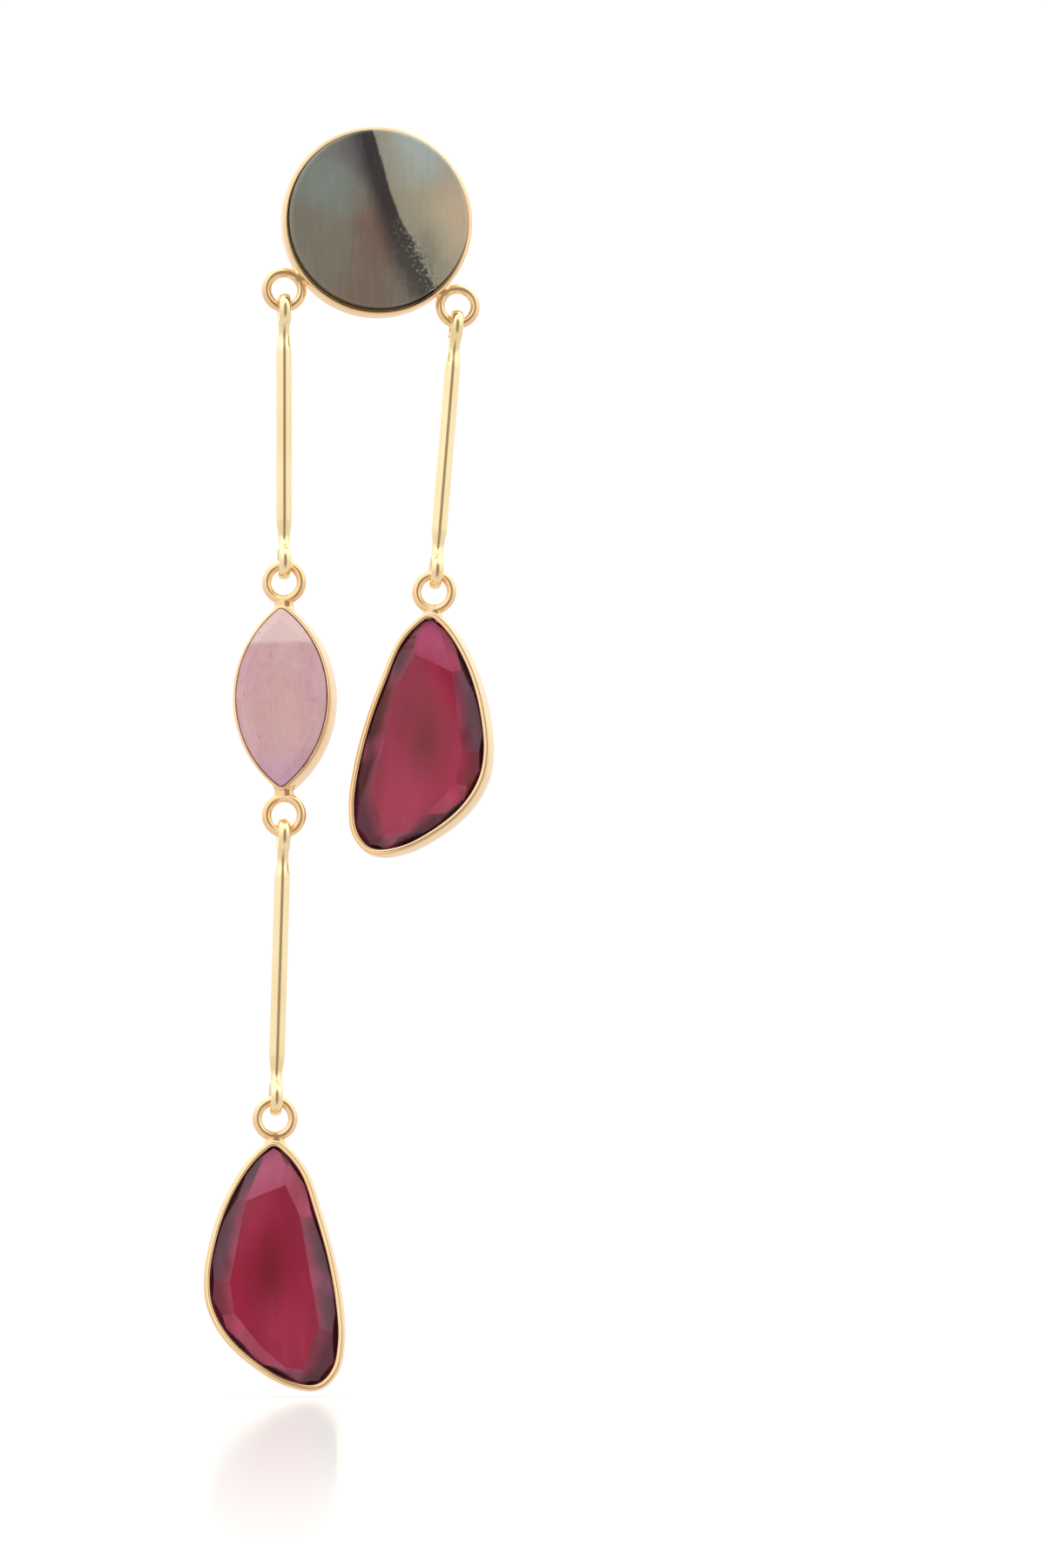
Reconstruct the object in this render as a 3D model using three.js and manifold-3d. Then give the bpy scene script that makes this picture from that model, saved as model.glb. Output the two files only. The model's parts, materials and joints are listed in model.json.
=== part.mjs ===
// A long two-branch drop earring: a shell disc in a cup, wire bars, a marquise and two free-form drops.
// Millimetres, +Z up. The origin is the middle of the cup's back face, the front looks along -Y.
import * as THREE from "three";
import { mergeVertices } from "three/addons/utils/BufferGeometryUtils.js";
import Module from "manifold-3d";

const wasm = await Module();
wasm.setup();

// Clearances
const stoneGap = 0.07; // between a stone and the metal round it
const linkGap = 0.12; // between an eye and the ring that it hangs in
const nutGap = 0.07; // between the post and the bore of the nut

// Shell disc and its cup
const discDiameter = 12;
const discThickness = 2;
const discProud = 1.05; // the disc stands this far out of the cup
const discBevel = 0.18;
const cupWall = 0.36;
const cupFloor = 0.5;

// Rings, eyes and wire bars
const ringRadius = 1.175; // to the middle of the wire
const ringWire = 0.65;
const eyeRadius = 0.95; // to the middle of the wire
const eyeWire = 0.55; // seen from the side
const eyeWidth = 0.8; // seen from the front, where the wire is flattened
const barDiameter = 1.05;
const neckLength = 1.4; // over which a bar narrows to its eye
const upperBarLength = 17.35; // from hinge to hinge
const lowerBarLength = 17.8;
const rightBarLength = 17.05;
const solderBite = 0.1; // how far a ring is let into what it is soldered to
const solderWidth = 1.6; // of the bead of solder at each joint
const solderDepth = 1.05;
const solderShare = 0.8; // of the wall's thickness that the bead soaks into

// Bezels
const bezelWall = 0.42;
const marquiseWall = 0.24;
const marquiseNeck = 0.18; // of solder, between the marquise bezel and each of its rings
const bezelDepth = 2.2;
const seatWidth = 0.35; // the seat reaches this far in behind the stone
const seatThickness = 0.4;
const rimChamfer = 0.1;

// Hanging stones
const marquiseWidth = 6.1;
const marquiseHeight = 11.8;
const marquiseTipRadius = 0.35;
const pendantWidth = 8.35;
const pendantHeight = 15.55;
const stoneProud = 0.5; // the table stands this far in front of the bezel
const crownHeight = 0.7;
const pavilionHeight = 0.75;
const marquiseBevelHeight = 0.42;
const marquiseBevelReach = 0.62;

// Post and nut
const postDiameter = 0.8;
const postLength = 10.6;
const postFootDiameter = 1.7;
const postFootHeight = 0.35;
const postGrooveDepth = 0.12;
const lobeGap = 5; // from the cup's back to the nut
const nutDiameter = 9.6;
const nutPlate = 1.1;
const nutHubDiameter = 4;
const nutHubLength = 2.6;

// Where the two rings sit on the cup, in degrees from straight down, and how the pieces hang.
// lean: degrees that the lower end goes to the right. turn: degrees about the vertical.
// back: how far the bezel lies behind its ring, so that it hangs plumb.
const leftRingAngle = -52.7;
const rightRingAngle = 44.4;
const hang = {
  leftUpperBar: { lean: 0.2, turn: 0 },
  marquise: { lean: 0.2, turn: -16.5, back: 0.224 },
  leftLowerBar: { lean: -1.5, turn: 0 },
  leftPendant: { lean: 0, turn: -7.5, back: 0.241 },
  rightBar: { lean: -4.6, turn: 0 },
  rightPendant: { lean: -4, turn: -15.5, back: -0.014 },
};

// Outline of a free-form drop seen from the front, from its tip clockwise.
// across: share of the stone's width, to the right of the tip. down: share of its height, below the tip.
const pendantOutline = [
  { across: 0.0, down: 0.0 },
  { across: 0.09, down: 0.036 },
  { across: 0.21, down: 0.122 },
  { across: 0.315, down: 0.285 },
  { across: 0.41, down: 0.46 },
  { across: 0.478, down: 0.65 },
  { across: 0.498, down: 0.82 },
  { across: 0.455, down: 0.937 },
  { across: 0.34, down: 0.998 },
  { across: 0.13, down: 0.985 },
  { across: -0.13, down: 0.907 },
  { across: -0.355, down: 0.795 },
  { across: -0.475, down: 0.675 },
  { across: -0.5, down: 0.56 },
  { across: -0.458, down: 0.41 },
  { across: -0.365, down: 0.255 },
  { across: -0.215, down: 0.107 },
  { across: -0.08, down: 0.025 },
];

// Facets of a free-form drop. clock: degrees clockwise from straight up, the way that the facet faces.
// reach: how far it runs in from the edge, as a share of the stone's width.
const crownFacets = [
  { clock: 338, reach: 0.318 },
  { clock: 45, reach: 0.1 },
  { clock: 65, reach: 0.14 },
  { clock: 80, reach: 0.155 },
  { clock: 111, reach: 0.211 },
  { clock: 150, reach: 0.156 },
  { clock: 188, reach: 0.106 },
  { clock: 221, reach: 0.115 },
  { clock: 231, reach: 0.142 },
  { clock: 261, reach: 0.162 },
  { clock: 281, reach: 0.17 },
  { clock: 312, reach: 0.155 },
];
const pavilionFacets = [
  { clock: 28, reach: 0.24 },
  { clock: 75, reach: 0.26 },
  { clock: 112, reach: 0.24 },
  { clock: 156, reach: 0.2 },
  { clock: 219, reach: 0.22 },
  { clock: 250, reach: 0.26 },
  { clock: 300, reach: 0.22 },
  { clock: 332, reach: 0.24 },
];
const marquiseFacetsPerSide = 6;

// Fineness of the meshes
const discSides = 48;
const ringSides = 16;
const wireSides = 6;
const barSides = 12;
const beadSides = 10;
const outlineStepsPerPoint = 3;
const arcSteps = 18;
const tipSteps = 4;
const cutterSize = 60;

// Derived sizes
const discRadius = discDiameter / 2;
const cupRadius = discRadius + stoneGap + cupWall;
const cupDepth = cupFloor + stoneGap + discThickness - discProud;
const ringOuterRadius = ringRadius + ringWire / 2;
const hangingY = -cupDepth / 2;
const ringReach = cupRadius + ringOuterRadius - solderBite;
const eyeOffset = eyeRadius - eyeWire / 2 - ringWire / 2 - linkGap;
const stoneTipDrop = ringOuterRadius - solderBite + bezelWall + stoneGap;
const marquiseTipDrop = ringOuterRadius - solderBite + marquiseNeck + marquiseWall + stoneGap;
const pendantStoneThickness = stoneProud + bezelDepth - seatThickness - stoneGap;

const gold = new THREE.MeshStandardMaterial({ color: 0xe8c088, metalness: 1, roughness: 0.2 });
const shell = new THREE.MeshStandardMaterial({ color: 0x7c7a70, roughness: 0.25 });
const roseQuartz = new THREE.MeshStandardMaterial({ color: 0xc89ca6, roughness: 0.2 });
const redGlass = new THREE.MeshStandardMaterial({ color: 0xa02848, roughness: 0.08 });
const clearPlastic = new THREE.MeshStandardMaterial({
  color: 0xdfe6e4,
  roughness: 0.2,
  transparent: true,
  opacity: 0.6,
});

// A closed three.js geometry as a solid that can be joined and cut.
function solid(geometry) {
  const bare = geometry.clone();
  bare.deleteAttribute("normal");
  bare.deleteAttribute("uv");
  const merged = mergeVertices(bare, 1e-5);
  const index = merged.index.array;
  const triVerts = [];
  for (let i = 0; i < index.length; i += 3) {
    const [a, b, c] = index.slice(i, i + 3);
    if (a !== b && b !== c && c !== a) triVerts.push(a, b, c);
  }
  const vertProperties = new Float32Array(merged.attributes.position.array);
  const mesh = new wasm.Mesh({
    numProp: 3,
    vertProperties,
    triVerts: new Uint32Array(triVerts),
  });
  return new wasm.Manifold(mesh);
}

// A finished solid as a named mesh.
function piece(name, body, material) {
  const made = body.getMesh();
  const geometry = new THREE.BufferGeometry();
  geometry.setAttribute("position", new THREE.BufferAttribute(made.vertProperties, 3));
  geometry.setIndex(new THREE.BufferAttribute(made.triVerts, 1));
  geometry.computeVertexNormals();
  const mesh = new THREE.Mesh(geometry, material);
  mesh.name = name;
  return mesh;
}

function joined(bodies) {
  return bodies.reduce((whole, body) => whole.add(body));
}

// A turned solid about the Y axis from its profile of [radius, y] pairs.
function turned(profile, sides) {
  const points = profile.map(([radius, y]) => new THREE.Vector2(radius, y));
  return new THREE.LatheGeometry(points, sides);
}

// A soldered ring that lies in the plane of its setting, centred on x, y, z.
function flatRing(x, y, z) {
  const geometry = new THREE.TorusGeometry(ringRadius, ringWire / 2, wireSides, ringSides);
  geometry.rotateX(Math.PI / 2);
  geometry.translate(x, y, z);
  return solid(geometry);
}

// A flattened bead of solder where a ring meets a wall, or stands off it by a neck, round its middle.
// clock: the way that the ring lies from the wall.
function solderBead(x, y, z, clock, wall, neck = 0) {
  const geometry = new THREE.SphereGeometry(1, beadSides, beadSides / 2);
  geometry.rotateX(Math.PI / 2);
  geometry.scale(solderWidth / 2, solderDepth / 2, neck / 2 + wall * solderShare);
  geometry.rotateY(clock);
  geometry.translate(x, y, z);
  return solid(geometry);
}

// Outlines are lists of points with their outward normals, seen from the front, clockwise from the top.
function pendantPath(mirrored) {
  const side = mirrored ? -1 : 1;
  const corners = pendantOutline.map(
    ({ across, down }) =>
      new THREE.Vector3(side * across * pendantWidth, 0, -down * pendantHeight),
  );
  if (mirrored) corners.reverse();
  const curve = new THREE.CatmullRomCurve3(corners, true, "centripetal");
  const steps = corners.length * outlineStepsPerPoint;
  const path = [];
  for (let i = 0; i < steps; i += 1) {
    const point = curve.getPoint(i / steps);
    const along = curve.getTangent(i / steps);
    path.push({ x: point.x, z: point.z, nx: -along.z, nz: along.x });
  }
  return path;
}

// Two arcs that meet in a small round at the top and the bottom.
function marquisePath() {
  const halfWidth = marquiseWidth / 2 - marquiseTipRadius;
  const halfHeight = marquiseHeight / 2 - marquiseTipRadius;
  const arcRadius = (halfWidth ** 2 + halfHeight ** 2) / (2 * halfWidth);
  const sweep = Math.asin(halfHeight / arcRadius);
  const path = [];
  const add = (x, z, angle) => {
    const nx = Math.cos(angle);
    const nz = Math.sin(angle);
    path.push({
      x: x + marquiseTipRadius * nx,
      z: z + marquiseTipRadius * nz - marquiseHeight / 2,
      nx,
      nz,
    });
  };
  for (const side of [1, -1]) {
    for (let i = 0; i < tipSteps; i += 1) {
      const angle = side * Math.PI / 2 - (i / tipSteps) * (Math.PI / 2 - sweep);
      add(0, side * halfHeight, angle);
    }
    for (let i = 0; i < arcSteps; i += 1) {
      const angle = sweep - (2 * sweep * i) / arcSteps;
      const turn = side > 0 ? angle : angle + Math.PI;
      const centre = side * (halfWidth - arcRadius);
      add(centre + arcRadius * Math.cos(turn), arcRadius * Math.sin(turn), turn);
    }
    for (let i = 0; i < tipSteps; i += 1) {
      const angle = -side * Math.PI / 2 + (1 - i / tipSteps) * (Math.PI / 2 - sweep);
      add(0, -side * halfHeight, angle);
    }
  }
  return path;
}

// A band round an outline. Its section is a closed list of [offset outwards, y] pairs.
function band(path, section) {
  const positions = [];
  const index = [];
  for (const { x, z, nx, nz } of path) {
    for (const [offset, y] of section) positions.push(x + nx * offset, y, z + nz * offset);
  }
  const count = section.length;
  for (let i = 0; i < path.length; i += 1) {
    const here = i * count;
    const next = ((i + 1) % path.length) * count;
    for (let j = 0; j < count; j += 1) {
      const k = (j + 1) % count;
      index.push(here + j, next + j, next + k, here + j, next + k, here + k);
    }
  }
  const geometry = new THREE.BufferGeometry();
  geometry.setAttribute("position", new THREE.Float32BufferAttribute(positions, 3));
  geometry.setIndex(index);
  return solid(geometry);
}

// The wall of an open-backed bezel with the seat that the stone rests on, centred on y.
function bezelBand(path, y, wall) {
  const front = y - bezelDepth / 2;
  const back = y + bezelDepth / 2;
  const outer = stoneGap + wall;
  return band(path, [
    [outer - rimChamfer, front],
    [outer, front + rimChamfer],
    [outer, back - rimChamfer],
    [outer - rimChamfer, back],
    [-seatWidth, back],
    [-seatWidth, back - seatThickness],
    [stoneGap, back - seatThickness],
    [stoneGap, front + rimChamfer / 2],
    [stoneGap + rimChamfer / 2, front],
  ]);
}

// A blank of a stone: its outline, from the table at `front` to the flat back.
function blank(path, front, thickness) {
  const shape = new THREE.Shape(path.map(({ x, z }) => new THREE.Vector2(x, z)));
  const geometry = new THREE.ExtrudeGeometry(shape, { depth: thickness, bevelEnabled: false });
  geometry.rotateX(Math.PI / 2);
  geometry.translate(0, front + thickness, 0);
  return solid(geometry);
}

// Cuts one facet: a flat that starts at the outline's outermost point in its direction, at height
// `edge`, and has come in by `reach` at height `flat`.
function cutFacet(body, path, clock, reach, edge, flat) {
  const angle = THREE.MathUtils.degToRad(clock);
  const dx = Math.sin(angle);
  const dz = Math.cos(angle);
  const far = path.reduce((a, b) => (b.x * dx + b.z * dz > a.x * dx + a.z * dz ? b : a));
  const rise = Math.abs(flat - edge);
  const toTable = Math.sign(flat - edge);
  const facing = new THREE.Vector3(dx * rise, toTable * reach, dz * rise).normalize();
  const block = new THREE.BoxGeometry(cutterSize, cutterSize, cutterSize);
  block.translate(0, 0, cutterSize / 2);
  const turn = new THREE.Quaternion().setFromUnitVectors(new THREE.Vector3(0, 0, 1), facing);
  block.applyQuaternion(turn);
  block.translate(far.x, edge, far.z);
  return body.subtract(solid(block));
}

function freeFormStone(path, y, mirrored) {
  const front = y - bezelDepth / 2 - stoneProud;
  const back = front + pendantStoneThickness;
  const side = mirrored ? -1 : 1;
  let body = blank(path, front, pendantStoneThickness);
  for (const { clock, reach } of crownFacets) {
    body = cutFacet(body, path, side * clock, reach * pendantWidth, front + crownHeight, front);
  }
  for (const { clock, reach } of pavilionFacets) {
    body = cutFacet(body, path, side * clock, reach * pendantWidth, back - pavilionHeight, back);
  }
  return body;
}

// Bevel facets of equal width round the table, the same number on each side.
function marquiseStoneBody(path, y) {
  const front = y - bezelDepth / 2 - stoneProud;
  const edge = front + marquiseBevelHeight;
  const halfWidth = marquiseWidth / 2;
  const halfHeight = marquiseHeight / 2;
  const sweep = Math.atan2(2 * halfWidth * halfHeight, halfHeight ** 2 - halfWidth ** 2);
  let body = blank(path, front, pendantStoneThickness);
  for (let i = 0; i < marquiseFacetsPerSide; i += 1) {
    const share = (i + 0.5) / marquiseFacetsPerSide;
    const tilt = THREE.MathUtils.radToDeg(sweep) * (1 - 2 * share);
    body = cutFacet(body, path, 90 - tilt, marquiseBevelReach, edge, front);
    body = cutFacet(body, path, 270 + tilt, marquiseBevelReach, edge, front);
  }
  return body;
}

// A group whose origin is the middle of a hanging ring or the hinge of a bar.
function hung(at, { lean, turn }) {
  const group = new THREE.Group();
  group.position.copy(at);
  group.rotation.order = "ZYX";
  group.rotation.z = THREE.MathUtils.degToRad(turn);
  group.rotation.y = -THREE.MathUtils.degToRad(lean);
  return group;
}

// The way that a piece of this lean points, from its upper end to its lower one.
function down({ lean }) {
  const angle = THREE.MathUtils.degToRad(lean);
  return new THREE.Vector3(Math.sin(angle), 0, -Math.cos(angle));
}

function moved(from, direction, distance) {
  return from.clone().addScaledVector(direction, distance);
}

// Cup, rings and post: one soldered piece.
function discSetting(ringCentres) {
  const lip = cupWall - rimChamfer / 2;
  const cup = turned(
    [
      [0, -cupFloor],
      [discRadius + stoneGap, -cupFloor],
      [discRadius + stoneGap, -cupDepth + rimChamfer / 2],
      [cupRadius - lip, -cupDepth],
      [cupRadius - rimChamfer, -cupDepth],
      [cupRadius, -cupDepth + rimChamfer],
      [cupRadius, -rimChamfer],
      [cupRadius - rimChamfer, 0],
      [0, 0],
    ],
    discSides,
  );
  const postRadius = postDiameter / 2;
  const grooveAt = postLength - 3 * postDiameter;
  const post = turned(
    [
      [0, -cupFloor / 2],
      [postFootDiameter / 2, -cupFloor / 2],
      [postFootDiameter / 2, postFootHeight / 3],
      [postRadius * 1.3, postFootHeight * 0.75],
      [postRadius, postFootHeight],
      [postRadius, grooveAt],
      [postRadius - postGrooveDepth, grooveAt + postDiameter / 2],
      [postRadius, grooveAt + postDiameter],
      [postRadius, postLength - postRadius],
      [postRadius * 0.4, postLength],
      [0, postLength],
    ],
    barSides,
  );
  const bodies = [solid(cup), solid(post)];
  for (const centre of ringCentres) {
    bodies.push(flatRing(centre.x, centre.y, centre.z));
    const inward = cupRadius / Math.hypot(centre.x, centre.z);
    const clock = Math.atan2(centre.x, centre.z);
    bodies.push(solderBead(centre.x * inward, centre.y, centre.z * inward, clock, cupWall));
  }
  return piece("disc_setting", joined(bodies), gold);
}

function discStone() {
  const front = -cupFloor - stoneGap - discThickness;
  const back = -cupFloor - stoneGap;
  const profile = [
    [0, front],
    [discRadius - discBevel, front],
    [discRadius, front + discBevel],
    [discRadius, back],
    [0, back],
  ];
  return piece("disc_stone", solid(turned(profile, discSides)), shell);
}

// Plate and hub of the nut, bored for the post.
function earNut() {
  const bore = postDiameter / 2 + nutGap;
  const rim = nutPlate / 3;
  const profile = [
    [bore, lobeGap],
    [nutDiameter / 2 - rim, lobeGap],
    [nutDiameter / 2, lobeGap + rim],
    [nutDiameter / 2, lobeGap + nutPlate - rim],
    [nutDiameter / 2 - rim, lobeGap + nutPlate],
    [nutHubDiameter / 2, lobeGap + nutPlate],
    [nutHubDiameter / 2, lobeGap + nutPlate + nutHubLength - rim],
    [nutHubDiameter / 2 - rim, lobeGap + nutPlate + nutHubLength],
    [bore, lobeGap + nutPlate + nutHubLength],
    [bore, lobeGap],
  ];
  return piece("ear_nut", solid(turned(profile, discSides / 2)), clearPlastic);
}

// A wire bar that hangs down from its upper hinge, with an eye bent fore and aft at each end.
function bar(name, length) {
  const eyeSpan = length - 2 * eyeOffset;
  const shank = eyeSpan - 2 * eyeRadius;
  const thin = (eyeWire + eyeWidth) / 4;
  const thick = barDiameter / 2;
  const geometry = turned(
    [
      [0, 0],
      [thin, 0],
      [thin * 1.1, neckLength * 0.3],
      [thick, neckLength],
      [thick, shank - neckLength],
      [thin * 1.1, shank - neckLength * 0.3],
      [thin, shank],
      [0, shank],
    ],
    barSides,
  );
  geometry.rotateX(-Math.PI / 2);
  geometry.translate(0, 0, -eyeOffset - eyeRadius);
  const eyes = [eyeOffset, length - eyeOffset].map((depth) => {
    const eye = new THREE.TorusGeometry(eyeRadius, eyeWire / 2, wireSides, ringSides);
    eye.scale(1, 1, eyeWidth / eyeWire);
    eye.rotateY(Math.PI / 2);
    eye.translate(0, 0, -depth);
    return solid(eye);
  });
  return piece(name, joined([solid(geometry), ...eyes]), gold);
}

// Bezels hang from the origin, the middle of their upper ring.
function marquiseSetting(path, y) {
  const ringSpan = 2 * marquiseTipDrop + marquiseHeight;
  const seam = ringOuterRadius - solderBite + marquiseNeck / 2;
  const bodies = [
    bezelBand(path, y, marquiseWall),
    flatRing(0, 0, 0),
    solderBead(0, 0, -seam, 0, marquiseWall, marquiseNeck),
    flatRing(0, 0, -ringSpan),
    solderBead(0, 0, -ringSpan + seam, 0, marquiseWall, marquiseNeck),
  ];
  return piece("marquise_setting", joined(bodies), gold);
}

function pendantSetting(name, path, y) {
  const seam = ringOuterRadius - solderBite;
  const bodies = [
    bezelBand(path, y, bezelWall),
    flatRing(0, 0, 0),
    solderBead(0, 0, -seam, 0, bezelWall),
  ];
  return piece(name, joined(bodies), gold);
}

// An outline let down so that its tip hangs under the ring.
function lowered(path, drop) {
  return path.map((point) => ({ ...point, z: point.z - drop }));
}

function pendant(name, at, placing, mirrored) {
  const path = lowered(pendantPath(mirrored), stoneTipDrop);
  const group = hung(at, placing);
  group.add(pendantSetting(name + "_setting", path, placing.back));
  group.add(piece(name + "_stone", freeFormStone(path, placing.back, mirrored), redGlass));
  return group;
}

function ringOnCup(angle) {
  const turn = THREE.MathUtils.degToRad(angle);
  return new THREE.Vector3(ringReach * Math.sin(turn), hangingY, -ringReach * Math.cos(turn));
}

const leftRing = ringOnCup(leftRingAngle);
const rightRing = ringOnCup(rightRingAngle);

const earring = new THREE.Group();
earring.add(discSetting([leftRing, rightRing]));
earring.add(discStone());
earring.add(earNut());

// Long branch: bar, marquise, bar, drop.
const alongUpper = down(hang.leftUpperBar);
const upperHinge = moved(leftRing, alongUpper, ringRadius);
const upperBar = hung(upperHinge, hang.leftUpperBar);
upperBar.add(bar("left_upper_bar", upperBarLength));
earring.add(upperBar);

const marquiseHinge = moved(upperHinge, alongUpper, upperBarLength);
const marquiseRing = moved(marquiseHinge, alongUpper, ringRadius);
const marquiseGroup = hung(marquiseRing, hang.marquise);
const marquiseOutline = lowered(marquisePath(), marquiseTipDrop);
marquiseGroup.add(marquiseSetting(marquiseOutline, hang.marquise.back));
const marquiseBody = marquiseStoneBody(marquiseOutline, hang.marquise.back);
marquiseGroup.add(piece("marquise_stone", marquiseBody, roseQuartz));
earring.add(marquiseGroup);

const marquiseSpan = 2 * marquiseTipDrop + marquiseHeight;
const lowerRing = moved(marquiseRing, down(hang.marquise), marquiseSpan);
const alongLower = down(hang.leftLowerBar);
const lowerHinge = moved(lowerRing, alongLower, ringRadius);
const lowerBar = hung(lowerHinge, hang.leftLowerBar);
lowerBar.add(bar("left_lower_bar", lowerBarLength));
earring.add(lowerBar);

const leftDropHinge = moved(lowerHinge, alongLower, lowerBarLength);
const leftDropRing = moved(leftDropHinge, alongLower, ringRadius);
earring.add(pendant("left_pendant", leftDropRing, hang.leftPendant, false));

// Short branch: bar and mirrored drop.
const alongRight = down(hang.rightBar);
const rightHinge = moved(rightRing, alongRight, ringRadius);
const rightBar = hung(rightHinge, hang.rightBar);
rightBar.add(bar("right_bar", rightBarLength));
earring.add(rightBar);

const rightDropHinge = moved(rightHinge, alongRight, rightBarLength);
const rightDropRing = moved(rightDropHinge, alongRight, ringRadius);
earring.add(pendant("right_pendant", rightDropRing, hang.rightPendant, true));

export default earring;
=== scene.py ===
"""A long drop earring with two hanging branches, dressed round its packed model.

Lengths are metres in the packed model's own frame: +Z up as worn, the front towards -Y, the origin at the
middle of the cup's back. Hanging pieces are worked out in a frame of their own, whose origin is the middle
of the ring or the hinge that they hang on, and are then turned and moved to their place.
"""

import json
import math

import bmesh
import bpy
import numpy as np
from bpy.props import FloatProperty, FloatVectorProperty, PointerProperty
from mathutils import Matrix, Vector


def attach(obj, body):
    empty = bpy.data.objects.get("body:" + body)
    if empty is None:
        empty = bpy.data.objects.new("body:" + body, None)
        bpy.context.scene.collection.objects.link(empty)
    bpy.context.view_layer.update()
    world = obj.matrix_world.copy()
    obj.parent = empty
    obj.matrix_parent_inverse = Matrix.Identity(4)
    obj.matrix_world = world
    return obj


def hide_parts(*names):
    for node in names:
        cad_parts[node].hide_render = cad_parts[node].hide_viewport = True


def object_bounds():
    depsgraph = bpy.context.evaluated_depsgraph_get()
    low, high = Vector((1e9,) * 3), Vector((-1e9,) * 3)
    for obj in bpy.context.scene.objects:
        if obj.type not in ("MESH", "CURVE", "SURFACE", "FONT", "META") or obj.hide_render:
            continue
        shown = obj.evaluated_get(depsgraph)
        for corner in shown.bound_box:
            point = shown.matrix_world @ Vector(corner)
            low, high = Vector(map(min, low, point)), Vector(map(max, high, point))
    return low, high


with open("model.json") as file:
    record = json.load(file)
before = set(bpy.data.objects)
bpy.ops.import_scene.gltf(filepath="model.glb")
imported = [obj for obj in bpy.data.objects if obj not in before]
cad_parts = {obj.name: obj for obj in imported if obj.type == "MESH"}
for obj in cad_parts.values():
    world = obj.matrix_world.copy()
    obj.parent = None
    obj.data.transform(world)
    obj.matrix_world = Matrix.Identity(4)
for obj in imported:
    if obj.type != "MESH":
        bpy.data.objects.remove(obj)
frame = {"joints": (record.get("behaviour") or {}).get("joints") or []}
packed_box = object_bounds()

bl_info = {
    "name": "Drop earring",
    "version": (1, 0, 0),
    "blender": (4, 5, 0),
    "location": "View3D > Sidebar > Earring",
    "description": "Builds a two-branch drop earring round its packed model",
    "category": "Add Mesh",
}

MM = 0.001
HINGES = {joint["child"]: Vector(joint["pos_m"]) for joint in frame["joints"]}

# How the pieces hang. lean: degrees that the lower end goes to the right. turn: degrees about the
# vertical. back: how far a bezel lies behind its ring.
HANG = {
    "left_upper_bar": {"lean": 0.2, "turn": 0.0, "back": 0.0},
    "marquise": {"lean": 0.2, "turn": -16.5, "back": 0.224 * MM},
    "left_lower_bar": {"lean": -1.5, "turn": 0.0, "back": 0.0},
    "left_pendant": {"lean": 0.0, "turn": -7.5, "back": 0.241 * MM},
    "right_bar": {"lean": -4.6, "turn": 0.0, "back": 0.0},
    "right_pendant": {"lean": -4.0, "turn": -15.5, "back": -0.014 * MM},
}
BAR_LENGTHS = {"left_upper_bar": 17.35 * MM, "left_lower_bar": 17.8 * MM, "right_bar": 17.05 * MM}

# Outline of a free-form drop from its tip clockwise: shares of the stone's width and height.
DROP_OUTLINE = np.array([
    (0.0, 0.0), (0.09, 0.036), (0.21, 0.122), (0.315, 0.285), (0.41, 0.46), (0.478, 0.65),
    (0.498, 0.82), (0.455, 0.937), (0.34, 0.998), (0.13, 0.985), (-0.13, 0.907), (-0.355, 0.795),
    (-0.475, 0.675), (-0.5, 0.56), (-0.458, 0.41), (-0.365, 0.255), (-0.215, 0.107), (-0.08, 0.025),
])

# Tones of the red stone, as places on its ramp of colours. Red is the glass's own colour; the others
# paint light and shade: edge, plum and wine are painted shade, violet, rose and mauve painted reflections.
TONES = {"edge": 0.0, "plum": 0.17, "violet": 0.33, "wine": 0.5, "red": 0.67, "rose": 0.83, "mauve": 1.0}

# Facets of a free-form drop: the way that each faces, in degrees clockwise from straight up, how far it
# runs in, as a share of the width, and its tone on the left drop and on the mirrored right one. The
# tones are painted light, the light and shade that each facet shows, so the mirrored drops differ.
CROWN = [
    (338, 0.318, "mauve", "mauve"), (45, 0.1, "plum", "violet"), (65, 0.14, "rose", "plum"),
    (80, 0.155, "violet", "plum"), (111, 0.211, "plum", "plum"), (150, 0.156, "plum", "plum"),
    (188, 0.106, "plum", "violet"), (221, 0.115, "rose", "plum"), (231, 0.142, "rose", "rose"),
    (261, 0.162, "wine", "wine"), (281, 0.17, "violet", "violet"), (312, 0.155, "violet", "rose"),
]
# Narrow steep facets along the crown's foot, in the same form.
GIRDLE = [
    (20, 0.07, "plum", "edge"), (58, 0.06, "plum", "plum"), (92, 0.075, "plum", "violet"),
    (128, 0.09, "edge", "plum"), (170, 0.065, "edge", "edge"), (205, 0.07, "plum", "plum"),
    (226, 0.08, "plum", "violet"), (246, 0.075, "plum", "wine"), (270, 0.065, "plum", "plum"),
    (296, 0.06, "violet", "violet"), (326, 0.06, "plum", "plum"),
]
# Back facets, in the same form; their red and wine tones are painted light seen through the table.
PAVILION = [
    (28, 0.24, "red", "red"), (75, 0.26, "wine", "wine"), (112, 0.24, "red", "red"),
    (156, 0.2, "wine", "wine"), (219, 0.22, "wine", "wine"), (250, 0.26, "red", "red"),
    (300, 0.22, "wine", "wine"), (332, 0.24, "red", "red"),
]
MARQUISE_FACETS_PER_SIDE = 6

# Share of a length that a corner's round may take up, so that two of them never meet on it.
MOST_ROUND = 0.48


def tint(red, green, blue):
    """Linear colour of a display colour given as three numbers from 0 to 255."""
    display = np.array([red, green, blue]) / 255
    return tuple(np.where(display > 0.04045, ((display + 0.055) / 1.055) ** 2.4, display / 12.92))


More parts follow.
